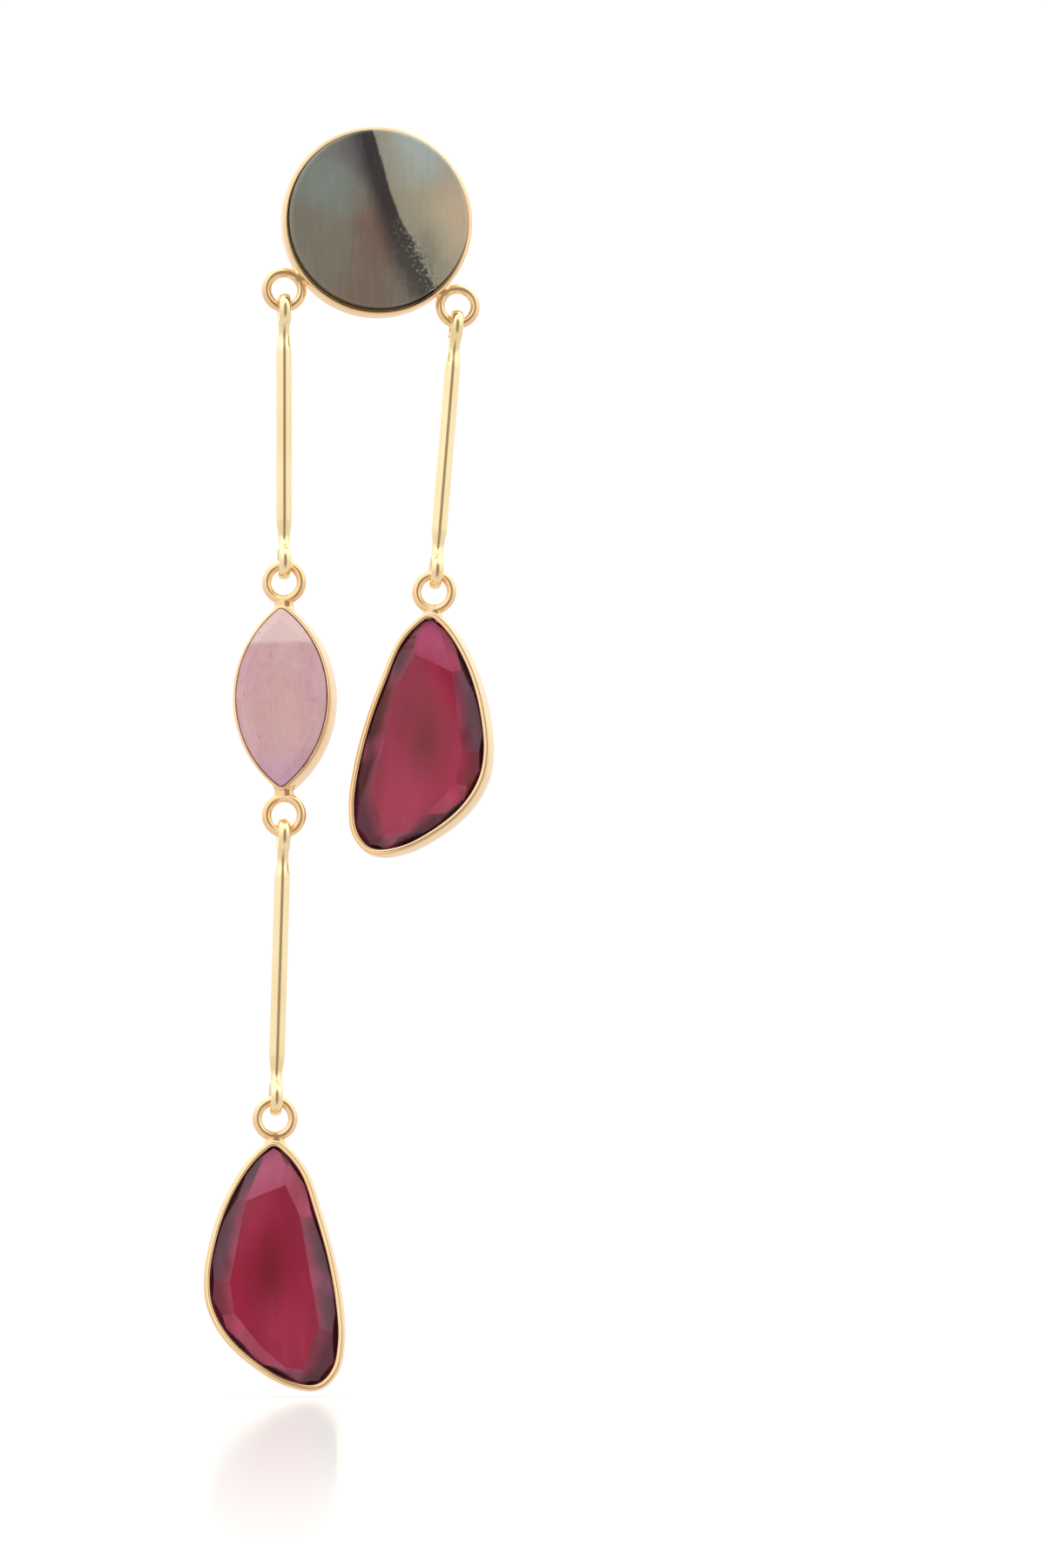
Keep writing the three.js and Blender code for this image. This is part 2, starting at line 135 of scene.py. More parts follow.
def length(name, description, millimetres):
    """A length's property, in metres, from its default in millimetres."""
    return FloatProperty(name=name, description=description, default=millimetres * MM, unit="LENGTH",
                         precision=5, min=0.0)


def colour(name, description, default):
    """A colour's property."""
    return FloatVectorProperty(name=name, description=description, default=default, subtype="COLOR",
                               size=3, min=0.0, max=1.0)


class EarringMetal(bpy.types.PropertyGroup):
    """Sizes of the metal."""

    cup_wall: length("Cup wall", "Thickness of the cup's wall", 0.36)
    cup_floor: length("Cup floor", "Thickness of the cup's floor", 0.5)
    ring_radius: length("Ring radius", "From a soldered ring's middle to the middle of its wire", 1.175)
    ring_wire: length("Ring wire", "Thickness of a soldered ring's wire", 0.65)
    eye_radius: length("Eye radius", "From the middle of a bar's eye to the middle of its wire", 0.95)
    eye_wire: length("Eye wire", "Thickness of the wire at the eyes", 0.55)
    eye_width: length("Eye width", "Width of the flattened wire at the eyes, seen from the front", 0.8)
    bar_wire: length("Bar wire", "Thickness of a bar along its straight part", 1.05)
    neck: length("Neck", "Length over which a bar narrows to its eye", 1.9)
    eye_play: length("Eye play", "Gap between an eye and the ring that it hangs in", 0.12)
    bezel_wall: length("Bezel wall", "Thickness of a drop's bezel wall", 0.42)
    marquise_wall: length("Marquise wall", "Thickness of the marquise's bezel wall", 0.24)
    marquise_neck: length("Marquise neck", "Solder between the marquise's bezel and each ring", 0.18)
    bezel_depth: length("Bezel depth", "Depth of a bezel from front to back", 2.2)
    seat_width: length("Seat width", "How far a bezel's seat reaches in behind its stone", 0.35)
    seat_thickness: length("Seat thickness", "Thickness of a bezel's seat", 0.4)
    edge_round: length("Edge round", "How far the metal's edges are rounded", 0.13)
    lip_press: length("Lip press", "How far a bezel's lip is pressed in towards its stone", 0.05)
    solder_bite: length("Solder bite", "How far a ring is let into what it is soldered to", 0.1)
    post_wire: length("Post wire", "Thickness of the ear post", 0.8)
    post_length: length("Post length", "From the cup's back to the post's tip", 10.6)


class EarringStones(bpy.types.PropertyGroup):
    """Sizes of the stones and of the nut."""

    disc_diameter: length("Disc diameter", "Across the shell disc", 12.0)
    disc_thickness: length("Disc thickness", "Thickness of the shell disc", 2.0)
    disc_proud: length("Disc proud", "How far the shell disc stands out of its cup", 1.05)
    stone_gap: length("Stone gap", "Gap between a stone and the metal round it", 0.07)
    marquise_width: length("Marquise width", "Across the marquise stone", 6.1)
    marquise_height: length("Marquise height", "From tip to tip of the marquise stone", 11.8)
    marquise_tip: length("Marquise tip", "Radius of the marquise stone's tips", 0.35)
    drop_width: length("Drop width", "Across a free-form drop stone", 8.35)
    drop_height: length("Drop height", "From the tip to the foot of a free-form drop stone", 15.55)
    proud: length("Stone proud", "How far a table stands in front of its bezel", 0.5)
    crown: length("Crown", "Height of a drop stone's crown facets", 0.7)
    girdle: length("Girdle", "How far the steep facets reach below the crown's foot", 0.2)
    pavilion: length("Pavilion", "Height of a drop stone's back facets", 0.75)
    marquise_crown: length("Marquise crown", "Height of the marquise stone's bevel facets", 0.42)
    marquise_reach: length("Marquise reach", "How far the marquise stone's bevel facets run in", 0.62)
    facet_edge: length("Facet edge", "Width of the polished edges between facets", 0.05)
    nut_diameter: length("Nut diameter", "Across the nut's plate", 9.6)
    nut_plate: length("Nut plate", "Thickness of the nut's plate", 1.1)
    nut_hub: length("Nut hub", "Diameter of the nut's hub", 4.0)
    nut_hub_length: length("Nut hub length", "How far the hub stands behind the plate", 2.6)
    lobe_gap: length("Lobe gap", "From the cup's back to the nut", 5.0)


class EarringColours(bpy.types.PropertyGroup):
    """Colours of the metal, the stones and the nut."""

    gold: colour("Gold", "Polished pale gold of the bars", tint(252, 236, 196))
    # Warm gold is the bars' gold made warmer: a painted warm reflection from the parts round the rings,
    # bezels and cup.
    warm_reflection_gold: colour("Warm gold", "Warmer gold of the rings and bezels", tint(250, 220, 178))
    shell_grey: colour("Shell grey", "Grey-olive of the shell's left", tint(110, 106, 95))
    shell_blue: colour("Shell blue", "Blue-grey at the upper left of the shell", tint(112, 121, 117))
    shell_purple: colour("Shell purple", "Purple-grey at the top left of the shell", tint(92, 88, 92))
    shell_olive: colour("Shell olive", "Olive brown at the foot of the shell", tint(104, 90, 78))
    shell_brown: colour("Shell brown", "Brown-pink at the middle of the shell", tint(106, 84, 76))
    shell_dark: colour("Shell dark", "Dark growth band of the shell", tint(40, 37, 42))
    shell_light: colour("Shell light", "Green-grey at the top right of the shell", tint(148, 160, 158))
    shell_beige: colour("Shell beige", "Beige of the shell's right", tint(148, 142, 124))
    shell_pink: colour("Shell pink", "Pinkish right edge of the shell", tint(174, 156, 134))
    quartz: colour("Rose quartz", "Mauve pink of the marquise stone", tint(190, 146, 156))
    quartz_milk: colour("Quartz milk", "Milky top of the marquise stone", tint(218, 192, 192))
    quartz_lilac: colour("Quartz lilac", "Lilac foot of the marquise stone", tint(186, 146, 172))
    quartz_beige: colour("Quartz beige", "Beige middle of the marquise stone", tint(196, 158, 150))
    # The glass colours paint the red stones' light and shade. Glass red is the glass's own colour; glass
    # edge, plum and wine are painted shade, and glass violet, rose and mauve painted reflections. Glass
    # violet also tints the quartz's tiny inclusions.
    glass_edge: colour("Glass edge", "Dark edge of the red stones", tint(58, 20, 28))
    glass_plum: colour("Glass plum", "Darkest facets of the red stones", tint(70, 34, 52))
    glass_violet: colour("Glass violet", "Grey-violet facets of the red stones", tint(98, 66, 84))
    glass_wine: colour("Glass wine", "Dark middle of the red stones", tint(120, 24, 44))
    glass_red: colour("Glass red", "Red of the tables", tint(164, 32, 70))
    glass_rose: colour("Glass rose", "Bright facets of the red stones", tint(188, 66, 100))
    glass_mauve: colour("Glass mauve", "Pink-mauve facet at the tip of the red stones", tint(192, 92, 132))
    plastic: colour("Clear plastic", "Tint of the nut", tint(226, 232, 229))


class EarringStage(bpy.types.PropertyGroup):
    """Sizes of the stage and the camera's place."""

    floor_gap: length("Floor gap", "How far the floor lies under the earring", 0.35)
    floor_size: length("Floor size", "Side of the floor", 3000.0)
    distance: length("Camera distance", "From the camera to the middle of its view", 400.0)
    view_height: length("View height", "Height of what the camera sees there", 105.0)
    azimuth: FloatProperty(name="Azimuth", description="Angle of the camera round the earring",
                           default=math.radians(-7.5), subtype="ANGLE")
    elevation: FloatProperty(name="Elevation", description="Angle of the camera above the horizon",
                             default=math.radians(-5.0), subtype="ANGLE")
    aim: FloatVectorProperty(name="Aim", description="Point at the middle of the camera's view", size=3,
                             default=(9.98 * MM, 0.0, -37.7 * MM), subtype="TRANSLATION", unit="LENGTH")
    floor_colour: colour("Floor", "White of the floor", (0.95, 0.95, 0.95))


# Shapes

def skin(rings, closed):
    """Faces over a grid of points. Each row is a closed ring and joins the next one; the last row joins
    the first if closed, and otherwise each end row is closed by a fan about its middle."""
    rows, columns, _ = rings.shape
    points = rings.reshape(-1, 3)
    row = np.arange(rows if closed else rows - 1)[:, None]
    column = np.arange(columns)[None, :]
    above = (row + 1) % rows
    beside = (column + 1) % columns
    corners = [row * columns + column, above * columns + column, above * columns + beside,
               row * columns + beside]
    quads = np.stack(np.broadcast_arrays(*corners), axis=-1).reshape(-1, 4)
    if closed:
        return points, quads, np.zeros((0, 3), int)
    points = np.vstack([points, rings[0].mean(axis=0), rings[-1].mean(axis=0)])
    here = np.arange(columns)
    there = (here + 1) % columns
    last = (rows - 1) * columns
    first_pole = np.full(columns, rows * columns)
    fans = np.vstack([
        np.stack([first_pole, here, there], axis=1),
        np.stack([first_pole + 1, last + there, last + here], axis=1),
    ])
    return points, quads, fans


def outward(shape):
    """The same closed shape with its faces turned outwards, by the sign of the volume that they hold."""
    points, quads, fans = shape
    triangles = np.vstack([quads[:, :3], quads[:, [0, 2, 3]], fans])
    a, b, c = (points[triangles[:, k]] for k in range(3))
    if np.einsum("ij,ij->i", a, np.cross(b, c)).sum() < 0:
        return points, quads[:, ::-1], fans[:, ::-1]
    return shape


def soften(corners, cut, closed=False, steps=7):
    """Rounds the corners of a flat line. Each corner becomes a quadratic curve between two points that
    lie `cut` from it, with one more point just beyond each so that the flats stay flat."""
    corners = np.asarray(corners, float)

    def toward(other, distance):
        gap = other - corners
        size = np.maximum(np.linalg.norm(gap, axis=1, keepdims=True), 1e-12)
        return corners + gap / size * np.minimum(distance, MOST_ROUND * size)

    before, after = np.roll(corners, 1, axis=0), np.roll(corners, -1, axis=0)
    t = np.linspace(0, 1, steps)[None, :, None]
    start, end = toward(before, cut)[:, None], toward(after, cut)[:, None]
    curve = (1 - t) ** 2 * start + 2 * t * (1 - t) * corners[:, None] + t ** 2 * end
    curve = np.concatenate([toward(before, 1.2 * cut)[:, None], curve, toward(after, 1.2 * cut)[:, None]],
                           axis=1)
    if closed:
        return curve.reshape(-1, 2)
    return np.vstack([corners[:1], curve[1:-1].reshape(-1, 2), corners[-1:]])


def circle(count):
    """Angles evenly round a full circle."""
    return np.linspace(0, 2 * np.pi, count, endpoint=False)


def grid(x, y, z):
    """Points from their coordinates, which may each vary along one side of the grid alone."""
    return np.stack(np.broadcast_arrays(x, y, z), axis=-1)


def spun(profile, sides, closed=False):
    """A shape turned about the Y axis: every [radius, y] of the profile goes round a full circle. Points
    of an open profile that lie on the axis are left to the fans that close the ends."""
    profile = np.asarray(profile, float)
    radius, y = profile[profile[:, 0] > 1e-7].T[..., None]
    angle = circle(sides)
    return outward(skin(grid(radius * np.cos(angle), y, radius * np.sin(angle)), closed))


def wire_ring(radius, thick, wide, around):
    """A closed ring of wire: an oval section, `thick` from inside to outside and `wide` to the sides,
    carried round a circle. Gives how far its points lie along the circle's two axes and to the side."""
    turn = circle(96)[:, None]
    section = circle(around)[None, :]
    out = radius + thick / 2 * np.cos(section)
    return out * np.sin(turn), out * np.cos(turn), wide / 2 * np.sin(section)


def flat_ring(metal, centre):
    """A soldered ring in the XZ plane."""
    x, z, y = wire_ring(metal.ring_radius, metal.ring_wire, metal.ring_wire, 28)
    return outward(skin(grid(x, -y, z) + centre, closed=True))


def solder_neck(metal, seam, clock, spread, neck=0.0):
    """The filled joint between a ring and the wall under it. Its level sections are ellipses, narrowest
    at the seam and widening both ways as the square of the distance, so that it runs out into the ring
    and the wall. `spread` is how far the wall falls away beside the seam, and `neck` how far the wall
    stands off the ring. `clock` is the way that the ring lies, in radians clockwise from straight up."""
    into_ring, into_wall = 0.42 * MM, 0.3 * MM
    half_wide, half_deep = 0.64 * MM, 0.33 * MM
    t = np.linspace(-1, 1, 25)[:, None]
    angle = circle(40)[None, :]
    up = t * np.where(t > 0, into_ring, into_wall) + np.sign(t) * neck / 2
    wide = half_wide + t ** 2 * np.where(t > 0, 0.26 * MM, 0.34 * MM)
    deep = half_deep + t ** 2 * np.where(t > 0, -0.03 * MM, 0.2 * MM)
    x = wide * np.cos(angle)
    z = up - spread * np.where(t > 0, 0, t ** 2) * np.cos(angle) ** 2
    turned = grid(x * math.cos(clock) + z * math.sin(clock), deep * np.sin(angle),
                  -x * math.sin(clock) + z * math.cos(clock))
    return outward(skin(turned + seam, closed=False))


def drop_outline(stones, mirrored):
    """Outline of a drop stone and its outward normals, as [x, z]: a closed centripetal Catmull-Rom curve
    through the listed points, the same as the packed solid's but finer."""
    points = DROP_OUTLINE * (stones.drop_width, -stones.drop_height)
    before, start, end, after = (np.roll(points, k, axis=0) for k in (1, 0, -1, -2))
    step = [np.linalg.norm(b - a, axis=1, keepdims=True) ** 0.5
            for a, b in ((before, start), (start, end), (end, after))]
    leave = (start - before) / step[0] - (end - before) / (step[0] + step[1]) + (end - start) / step[1]
    arrive = (end - start) / step[1] - (after - start) / (step[1] + step[2]) + (after - end) / step[2]
    leave, arrive = leave * step[1], arrive * step[1]
    t = np.linspace(0, 1, 12, endpoint=False)[None, :, None]
    start, end, leave, arrive = (v[:, None] for v in (start, end, leave, arrive))
    square = -3 * start + 3 * end - 2 * leave - arrive
    cube = 2 * start - 2 * end + leave + arrive
    line = (start + leave * t + square * t ** 2 + cube * t ** 3).reshape(-1, 2)
    along = (leave + 2 * square * t + 3 * cube * t ** 2).reshape(-1, 2)
    along /= np.linalg.norm(along, axis=1, keepdims=True)
    normals = np.stack([-along[:, 1], along[:, 0]], axis=1)
    side = np.array([-1 if mirrored else 1, 1])
    return line * side, normals * side


def marquise_outline(stones):
    """Outline of the marquise stone and its normals, as [x, z]: two equal arcs that meet in small rounds
    at the tips, clockwise from the top tip at z = 0."""
    tip = stones.marquise_tip
    wide = stones.marquise_width / 2 - tip
    high = stones.marquise_height / 2 - tip
    radius = (wide ** 2 + high ** 2) / (2 * wide)
    sweep = math.asin(high / radius)
    round_in = np.linspace(math.pi / 2, sweep, 10, endpoint=False)
    arc = np.linspace(sweep, -sweep, 90, endpoint=False)
    round_out = np.linspace(-sweep, -math.pi / 2, 10, endpoint=False)
    angle = np.concatenate([round_in, arc, round_out])
    normals = np.stack([np.cos(angle), np.sin(angle)], axis=1)
    middle = np.zeros_like(normals)
    middle[:10] = (0, high)
    middle[10:100] = np.array([wide - radius, 0]) + radius * normals[10:100]
    middle[100:] = (0, -high)
    line = middle + tip * normals
    whole = np.vstack([line, -line]) - (0, stones.marquise_height / 2)
    return whole, np.vstack([normals, -normals])


def seam_drop(metal):
    """From the middle of a hanging ring down to where it is soldered on."""
    return metal.ring_radius + metal.ring_wire / 2 - metal.solder_bite


def bezel(metal, stones, outline, y, wall):
    """The wall of an open-backed bezel with the seat behind the stone: a section of [outwards, y] pairs
    with rounded corners and a half-round lip pressed in towards the stone, carried along the outline on
    its normals."""
    line, normals = outline
    front = y - metal.bezel_depth / 2
    back = y + metal.bezel_depth / 2
    gap = stones.stone_gap
    outer = gap + wall
    seat = back - metal.seat_thickness
    bulge = 0.02 * MM
    section = np.array([
        (outer - metal.lip_press, front), (outer, front + 2.5 * wall), (outer + bulge, y), (outer, back),
        (-metal.seat_width, back), (-metal.seat_width, seat), (gap, seat), (gap - metal.lip_press, front),
    ])
    cut = np.array([0, 2, 1, 1, 0.8, 0.5, 0.4, 0])[:, None] * metal.edge_round
    cut[[0, -1]] = MOST_ROUND * wall
    offset, depth = soften(section, cut, closed=True, steps=8).T
    return outward(skin(grid(line[:, :1] + normals[:, :1] * offset, depth,
                             line[:, 1:] + normals[:, 1:] * offset), closed=True))


def facet_plane(line, clock, reach, edge, flat):
    """A point and the outward normal of a facet that starts at the outline's outermost point in its
    direction, at depth `edge`, and has come in by `reach` at depth `flat`."""
    way = np.array([math.sin(clock), math.cos(clock)])
    far = line[np.argmax(line @ way)]
    rise = abs(flat - edge)
    normal = Vector((way[0] * rise, math.copysign(reach, flat - edge), way[1] * rise))
    return Vector((far[0], edge, far[1])), normal.normalized()


def cut_stone(outline, front, back, rim, cuts, polish, table_tone=0.0, rim_shade_tone=0.0, glint_tone=0.0):
    """A faceted stone as a bmesh, in millimetres. The blank is the outline carried from front to back
    with a narrow steep rim, and each cut takes off all that lies outside its plane and closes the flat.
    Flats can't be had from an even grid without stepped edges, so they are cut. Each cut may give its
    facet a tone, which paints the light and shade that the facet shows. The blank's sides get a tone of
    their own, a painted shade round the rim, and the polished edges round the table get another, a
    painted highlight."""
    line, normals = outline
    inset, foot = rim
    rim_height = 0.25 * MM
    rows = [(inset, front), (inset, foot - rim_height), (0, foot), (0, back)]
    rings = np.stack([grid(line[:, 0] - normals[:, 0] * a, y, line[:, 1] - normals[:, 1] * a)
                      for a, y in rows])
    points, quads, _ = outward(skin(rings, closed=False))
    count = len(line)
    points = points[:-2] / MM
    flip = np.cross(points[1] - points[0], points[2] - points[1])[1] > 0
    first = np.arange(count)
    last = first + 3 * count
    caps = [first[::-1] if flip else first, last if flip else last[::-1]]
    blank = bpy.data.meshes.new("blank")
    blank.from_pydata(points.tolist(), [], quads.tolist() + [c.tolist() for c in caps])
    body = bmesh.new()
    body.from_mesh(blank)
    bpy.data.meshes.remove(blank)
    bmesh.ops.recalc_face_normals(body, faces=body.faces)
    tone = body.faces.layers.float.new("facet_tone")
    for face in body.faces:
        # Caps take the table's tone; the sides take the painted shade round the rim.
        face[tone] = table_tone if len(face.verts) > 4 else rim_shade_tone
    for at, normal, value in cuts:
        everything = body.verts[:] + body.edges[:] + body.faces[:]
        bmesh.ops.bisect_plane(body, geom=everything, dist=1e-5, plane_co=at / MM, plane_no=normal,
                               clear_outer=True)
        rim_edges = [edge for edge in body.edges if edge.is_boundary]
        made = bmesh.ops.holes_fill(body, edges=rim_edges, sides=0)
        for face in made["faces"]:
            face[tone] = value
    bmesh.ops.dissolve_degenerate(body, dist=1e-4, edges=body.edges)
    bmesh.ops.recalc_face_normals(body, faces=body.faces)
    sharp = [edge for edge in body.edges if edge.is_manifold and edge.calc_face_angle(0) > math.radians(9)]
    made = bmesh.ops.bevel(body, geom=sharp, offset=polish / MM / 2, segments=1, affect="EDGES",
                           clamp_overlap=True, material=-1)
    # Polished edges at the front take a painted highlight.
    for face in made["faces"]:
        if face.calc_center_median().y * MM < front + polish / 2:
            face[tone] = glint_tone
    bmesh.ops.recalc_face_normals(body, faces=body.faces)
    return body


def hung(points, hinge_or_ring, placing):
    """Points of a hanging piece at their place: leaned about Y, turned about Z, then moved."""
    lean = -math.radians(placing["lean"])
    turn = math.radians(placing["turn"])
    x, y, z = points.T
    x, z = x * math.cos(lean) + z * math.sin(lean), -x * math.sin(lean) + z * math.cos(lean)
    x, y = x * math.cos(turn) - y * math.sin(turn), x * math.sin(turn) + y * math.cos(turn)
    return np.stack([x, y, z], axis=1) + np.array(hinge_or_ring)


def downwards(body_name):
    """The way that a hanging piece points, from its upper end to its lower one."""
    lean = math.radians(HANG[body_name]["lean"])
    return Vector((math.sin(lean), 0, -math.cos(lean)))


def upper_ring(metal, body_name, bar_name):
    """Middle of the ring that a setting hangs by: one ring radius below the eye's hinge."""
    return HINGES[body_name] + downwards(bar_name) * metal.ring_radius


def eye_offset(metal):
    """From a bar's hinge down to the middle of its eye."""
    return metal.eye_radius - metal.eye_wire / 2 - metal.ring_wire / 2 - metal.eye_play


def bar_eye(metal, middle):
    """A bar's eye: a ring of flattened wire in the YZ plane, wider across than it is thick."""
    y, z, x = wire_ring(metal.eye_radius, metal.eye_wire, metal.eye_width, 32)
    return outward(skin(grid(x, y, z + middle), closed=True))


def bar_shank(metal, between):
    """The part of a bar between its eyes, in level oval sections. From the full round wire it draws in to
    just under the eye's width along 0.72 of the neck. Over the last 0.45 of it, where it meets the eye,
    it spreads fore and aft as the square of the height, and its sections bend round the eye's circle."""
    outer = metal.eye_radius + metal.eye_wire / 2
    full = -eye_offset(metal) - metal.eye_radius - metal.neck
    thick = metal.bar_wire / 2
    narrow = 0.97 * metal.eye_width / 2
    draw_share, meet_share, flattening = 0.72, 0.45, 0.4
    spread, short = 0.34 * MM, 0.02 * MM
    t = np.linspace(1, 0, 41)
    drawn = np.clip(t / draw_share, 0, 1)
    drawn = drawn ** 2 * (3 - 2 * drawn)
    meet = np.clip((t - 1) / meet_share + 1, 0, 1)
    wide = thick + (narrow - thick) * drawn
    deep = thick * (1 - flattening * drawn) + spread * meet ** 2
    level = full + t * (metal.neck - short)
    wide, deep = (np.concatenate([v, v[::-1]])[:, None] for v in (wide, deep))
    level = np.concatenate([level, -between - level[::-1]])[:, None]
    bend = np.concatenate([meet, -meet[::-1]])[:, None]
    angle = circle(36)[None, :]
    y = deep * np.sin(angle)
    z = level + bend * (outer - np.sqrt(outer ** 2 - y ** 2))
    return outward(skin(grid(wide * np.cos(angle), y, z), closed=False))


# Meshes

def place(name, mesh, material, body_name, node):
    """A finished piece: shaded, with its finish, riding on its body and standing for its node."""
    mesh.materials.append(material)
    piece = bpy.data.objects.new(name, mesh)
    bpy.context.scene.collection.objects.link(piece)
    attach(piece, body_name)
    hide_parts(node)


def smooth_piece(name, shapes, material, body_name, node, at=None, placing=None):
    """A smooth piece of several closed shapes, hung at its place if one is given."""
    points = np.vstack([vertices for vertices, _, _ in shapes])
    if placing is not None:
        points = hung(points, at, placing)
    faces = []
    start = 0
    for vertices, quads, fans in shapes:
        faces += (quads + start).tolist() + (fans + start).tolist()
        start += len(vertices)
    mesh = bpy.data.meshes.new(name)
    mesh.from_pydata(points.tolist(), [], faces)
    mesh.update()
    mesh.shade_smooth()
    place(name, mesh, material, body_name, node)


def stone_mesh(name, body, at, placing, plan, crown, side):
    """A cut stone's mesh at its place. Its UV map is the plan of the front: across and up, with the tip
    at 0, 0 and one unit for the width and for the height. Its attribute crown_depth runs from 0 at the
    table to 1 at the crown's foot."""
    mesh = bpy.data.meshes.new(name)
    body.to_mesh(mesh)
    body.free()
    points = np.empty(len(mesh.vertices) * 3)
    mesh.vertices.foreach_get("co", points)
    points = points.reshape(-1, 3) * MM
    width, height, tip = plan
    corner = np.empty(len(mesh.loops), int)
    mesh.loops.foreach_get("vertex_index", corner)
    flat = np.stack([side * points[:, 0] / width, (points[:, 2] + tip) / height], axis=1)
    mesh.uv_layers.new(name="plan").data.foreach_set("uv", flat[corner].ravel())
    depth = np.clip((points[:, 1] - crown[0]) / crown[1], 0, 1)
    mesh.attributes.new("crown_depth", "FLOAT", "POINT").data.foreach_set("value", depth)
    mesh.vertices.foreach_set("co", hung(points, at, placing).ravel())
    mesh.update()
    mesh.shade_smooth()
    mesh.set_sharp_from_angle(angle=math.radians(12))
    return mesh


# Finishes

class Value:
    """An output of a shader node. Arithmetic on it adds Math nodes to its tree."""

    def __init__(self, socket):
        self.socket = socket
        self.tree = socket.id_data

    def maths(self, operation, second=0.0, third=0.0):
        """One arithmetic node with this value first."""
        return put(self.tree, "Math", {0: self, 1: second, 2: third}, operation=operation)

    def __add__(self, other):
        return self.maths("ADD", other)

    def __sub__(self, other):
        return self.maths("SUBTRACT", other)

    def __rsub__(self, other):
        return self * -1.0 + other

    def __mul__(self, other):
        return self.maths("MULTIPLY", other)

    def __truediv__(self, other):
        return self.maths("DIVIDE", other)

    def __abs__(self):
        return self.maths("ABSOLUTE")

    def eased(self, low, high, to_low=0.0, to_high=1.0):
        """A value that eases from one number to another while this one goes between two limits."""
        return put(self.tree, "MapRange", {"Value": self, "From Min": low, "From Max": high,
                                           "To Min": to_low, "To Max": to_high},
                   interpolation_type="SMOOTHSTEP")

    def mix(self, first, second):
        """Two colours mixed by this value."""
        return put(self.tree, "Mix", {0: self, 6: first, 7: second}, 2, data_type="RGBA")

    def vector(self, operation, other, result="Vector"):
        """One vector node with this point first."""
        return put(self.tree, "VectorMath", {0: self, 1: other}, result, operation=operation)

    def distance(self, other=(0.0, 0.0, 0.0)):
        """How far this point lies from another."""
        return self.vector("DISTANCE", other, "Value")

    def parts(self):
        """Its x, y and z."""
        return [Value(socket) for socket in put(self.tree, "SeparateXYZ", {0: self}).socket.node.outputs]

    def mapped(self, **inputs):
        """This point moved, turned and scaled."""
        return put(self.tree, "Mapping", {"Vector": self, **inputs})

    def noise(self, scale, detail, roughness=0.5, result=0, bend=0.0):
        """Noise at this point."""
        return put(self.tree, "TexNoise", {"Vector": self, "Scale": scale, "Detail": detail,
                                           "Roughness": roughness, "Distortion": bend}, result)


def feed(node, inputs):
    """Links values to a node's inputs and sets plain numbers, vectors and colours on its own sockets."""
    for key, value in inputs.items():
        socket = node.inputs[key]
        if isinstance(value, Value):
            value.tree.links.new(value.socket, socket)
        else:
            socket.default_value = (*value, 1.0) if socket.type == "RGBA" else value


def put(tree, kind, inputs, result=0, **settings):
    """Adds a shader node, feeds its inputs and gives one of its outputs."""
    node = tree.nodes.new("ShaderNode" + kind)
    for key, value in settings.items():
        setattr(node, key, value)
    feed(node, inputs)
    return Value(node.outputs[result])


def effect(tree, name, build, outputs, at, **inputs):
    """Adds a shared node group, which is made on its first use, feeds it and gives its outputs. `build`
    turns a point and the named numbers into the outputs."""
    group = bpy.data.node_groups.get(name)
    if group is None:
        group = bpy.data.node_groups.new(name, "ShaderNodeTree")
        group.interface.new_socket(name="Vector", in_out="INPUT", socket_type="NodeSocketVector")
        for label in inputs:
            group.interface.new_socket(name=label, in_out="INPUT", socket_type="NodeSocketFloat")
        for label in outputs:
            group.interface.new_socket(name=label, in_out="OUTPUT", socket_type="NodeSocketFloat")
        start = group.nodes.new("NodeGroupInput")
        made = build(*[Value(start.outputs[label]) for label in ("Vector", *inputs)])
        feed(group.nodes.new("NodeGroupOutput"), dict(zip(outputs, made)))
    node = tree.nodes.new("ShaderNodeGroup")
    node.node_tree = group
    feed(node, {"Vector": at, **inputs})
    return [Value(node.outputs[label]) for label in outputs]


def handling_marks(at, roughness, smudge, scratch):
    """Soft smudges and fine scratches that run two ways, as a roughness and a height."""
    smudges = at.noise(420.0, 4.0, 0.6)
    lines = at.mapped(Rotation=(0.3, 0.9, 0.5), Scale=(4000.0, 300.0, 300.0)).noise(1.0, 2.0, 0.7)
    crossed = at.mapped(Rotation=(1.1, 0.2, 2.1), Scale=(300.0, 300.0, 5200.0)).noise(1.0, 2.0, 0.7)
    scratches = lines.eased(0.62, 0.78).maths("MAXIMUM", crossed.eased(0.64, 0.8)) * scratch
    rough = roughness + smudges.eased(0.4, 0.75) * smudge + scratches * 0.25
    return rough, smudges * 0.3 - scratches


def stone_clouds(at, scale, bend):
    """Soft clouds and fine veins, as two masks."""
    clouds = at.noise(scale, 5.0, 0.55, bend=bend)
    veins = at.noise(scale * 3.1, 5.0, 0.7, bend=bend)
    return clouds.eased(0.3, 0.7), abs(veins - 0.5).eased(0.06, 0.0)


def marked(tree, shader, roughness, smudge, scratch, bump):
    """Gives a shader the roughness and the bump of handling marks on Object coordinates."""
    place_at = put(tree, "TexCoord", {}, "Object")
    rough, height = effect(tree, "Handling marks", handling_marks, ("Roughness", "Height"), place_at,
                           Base=roughness, Smudge=smudge, Scratch=scratch)
    bumped = put(tree, "Bump", {"Height": height, "Strength": bump, "Distance": 0.02 * MM})
    feed(shader, {"Roughness": rough, "Normal": bumped})
    return place_at


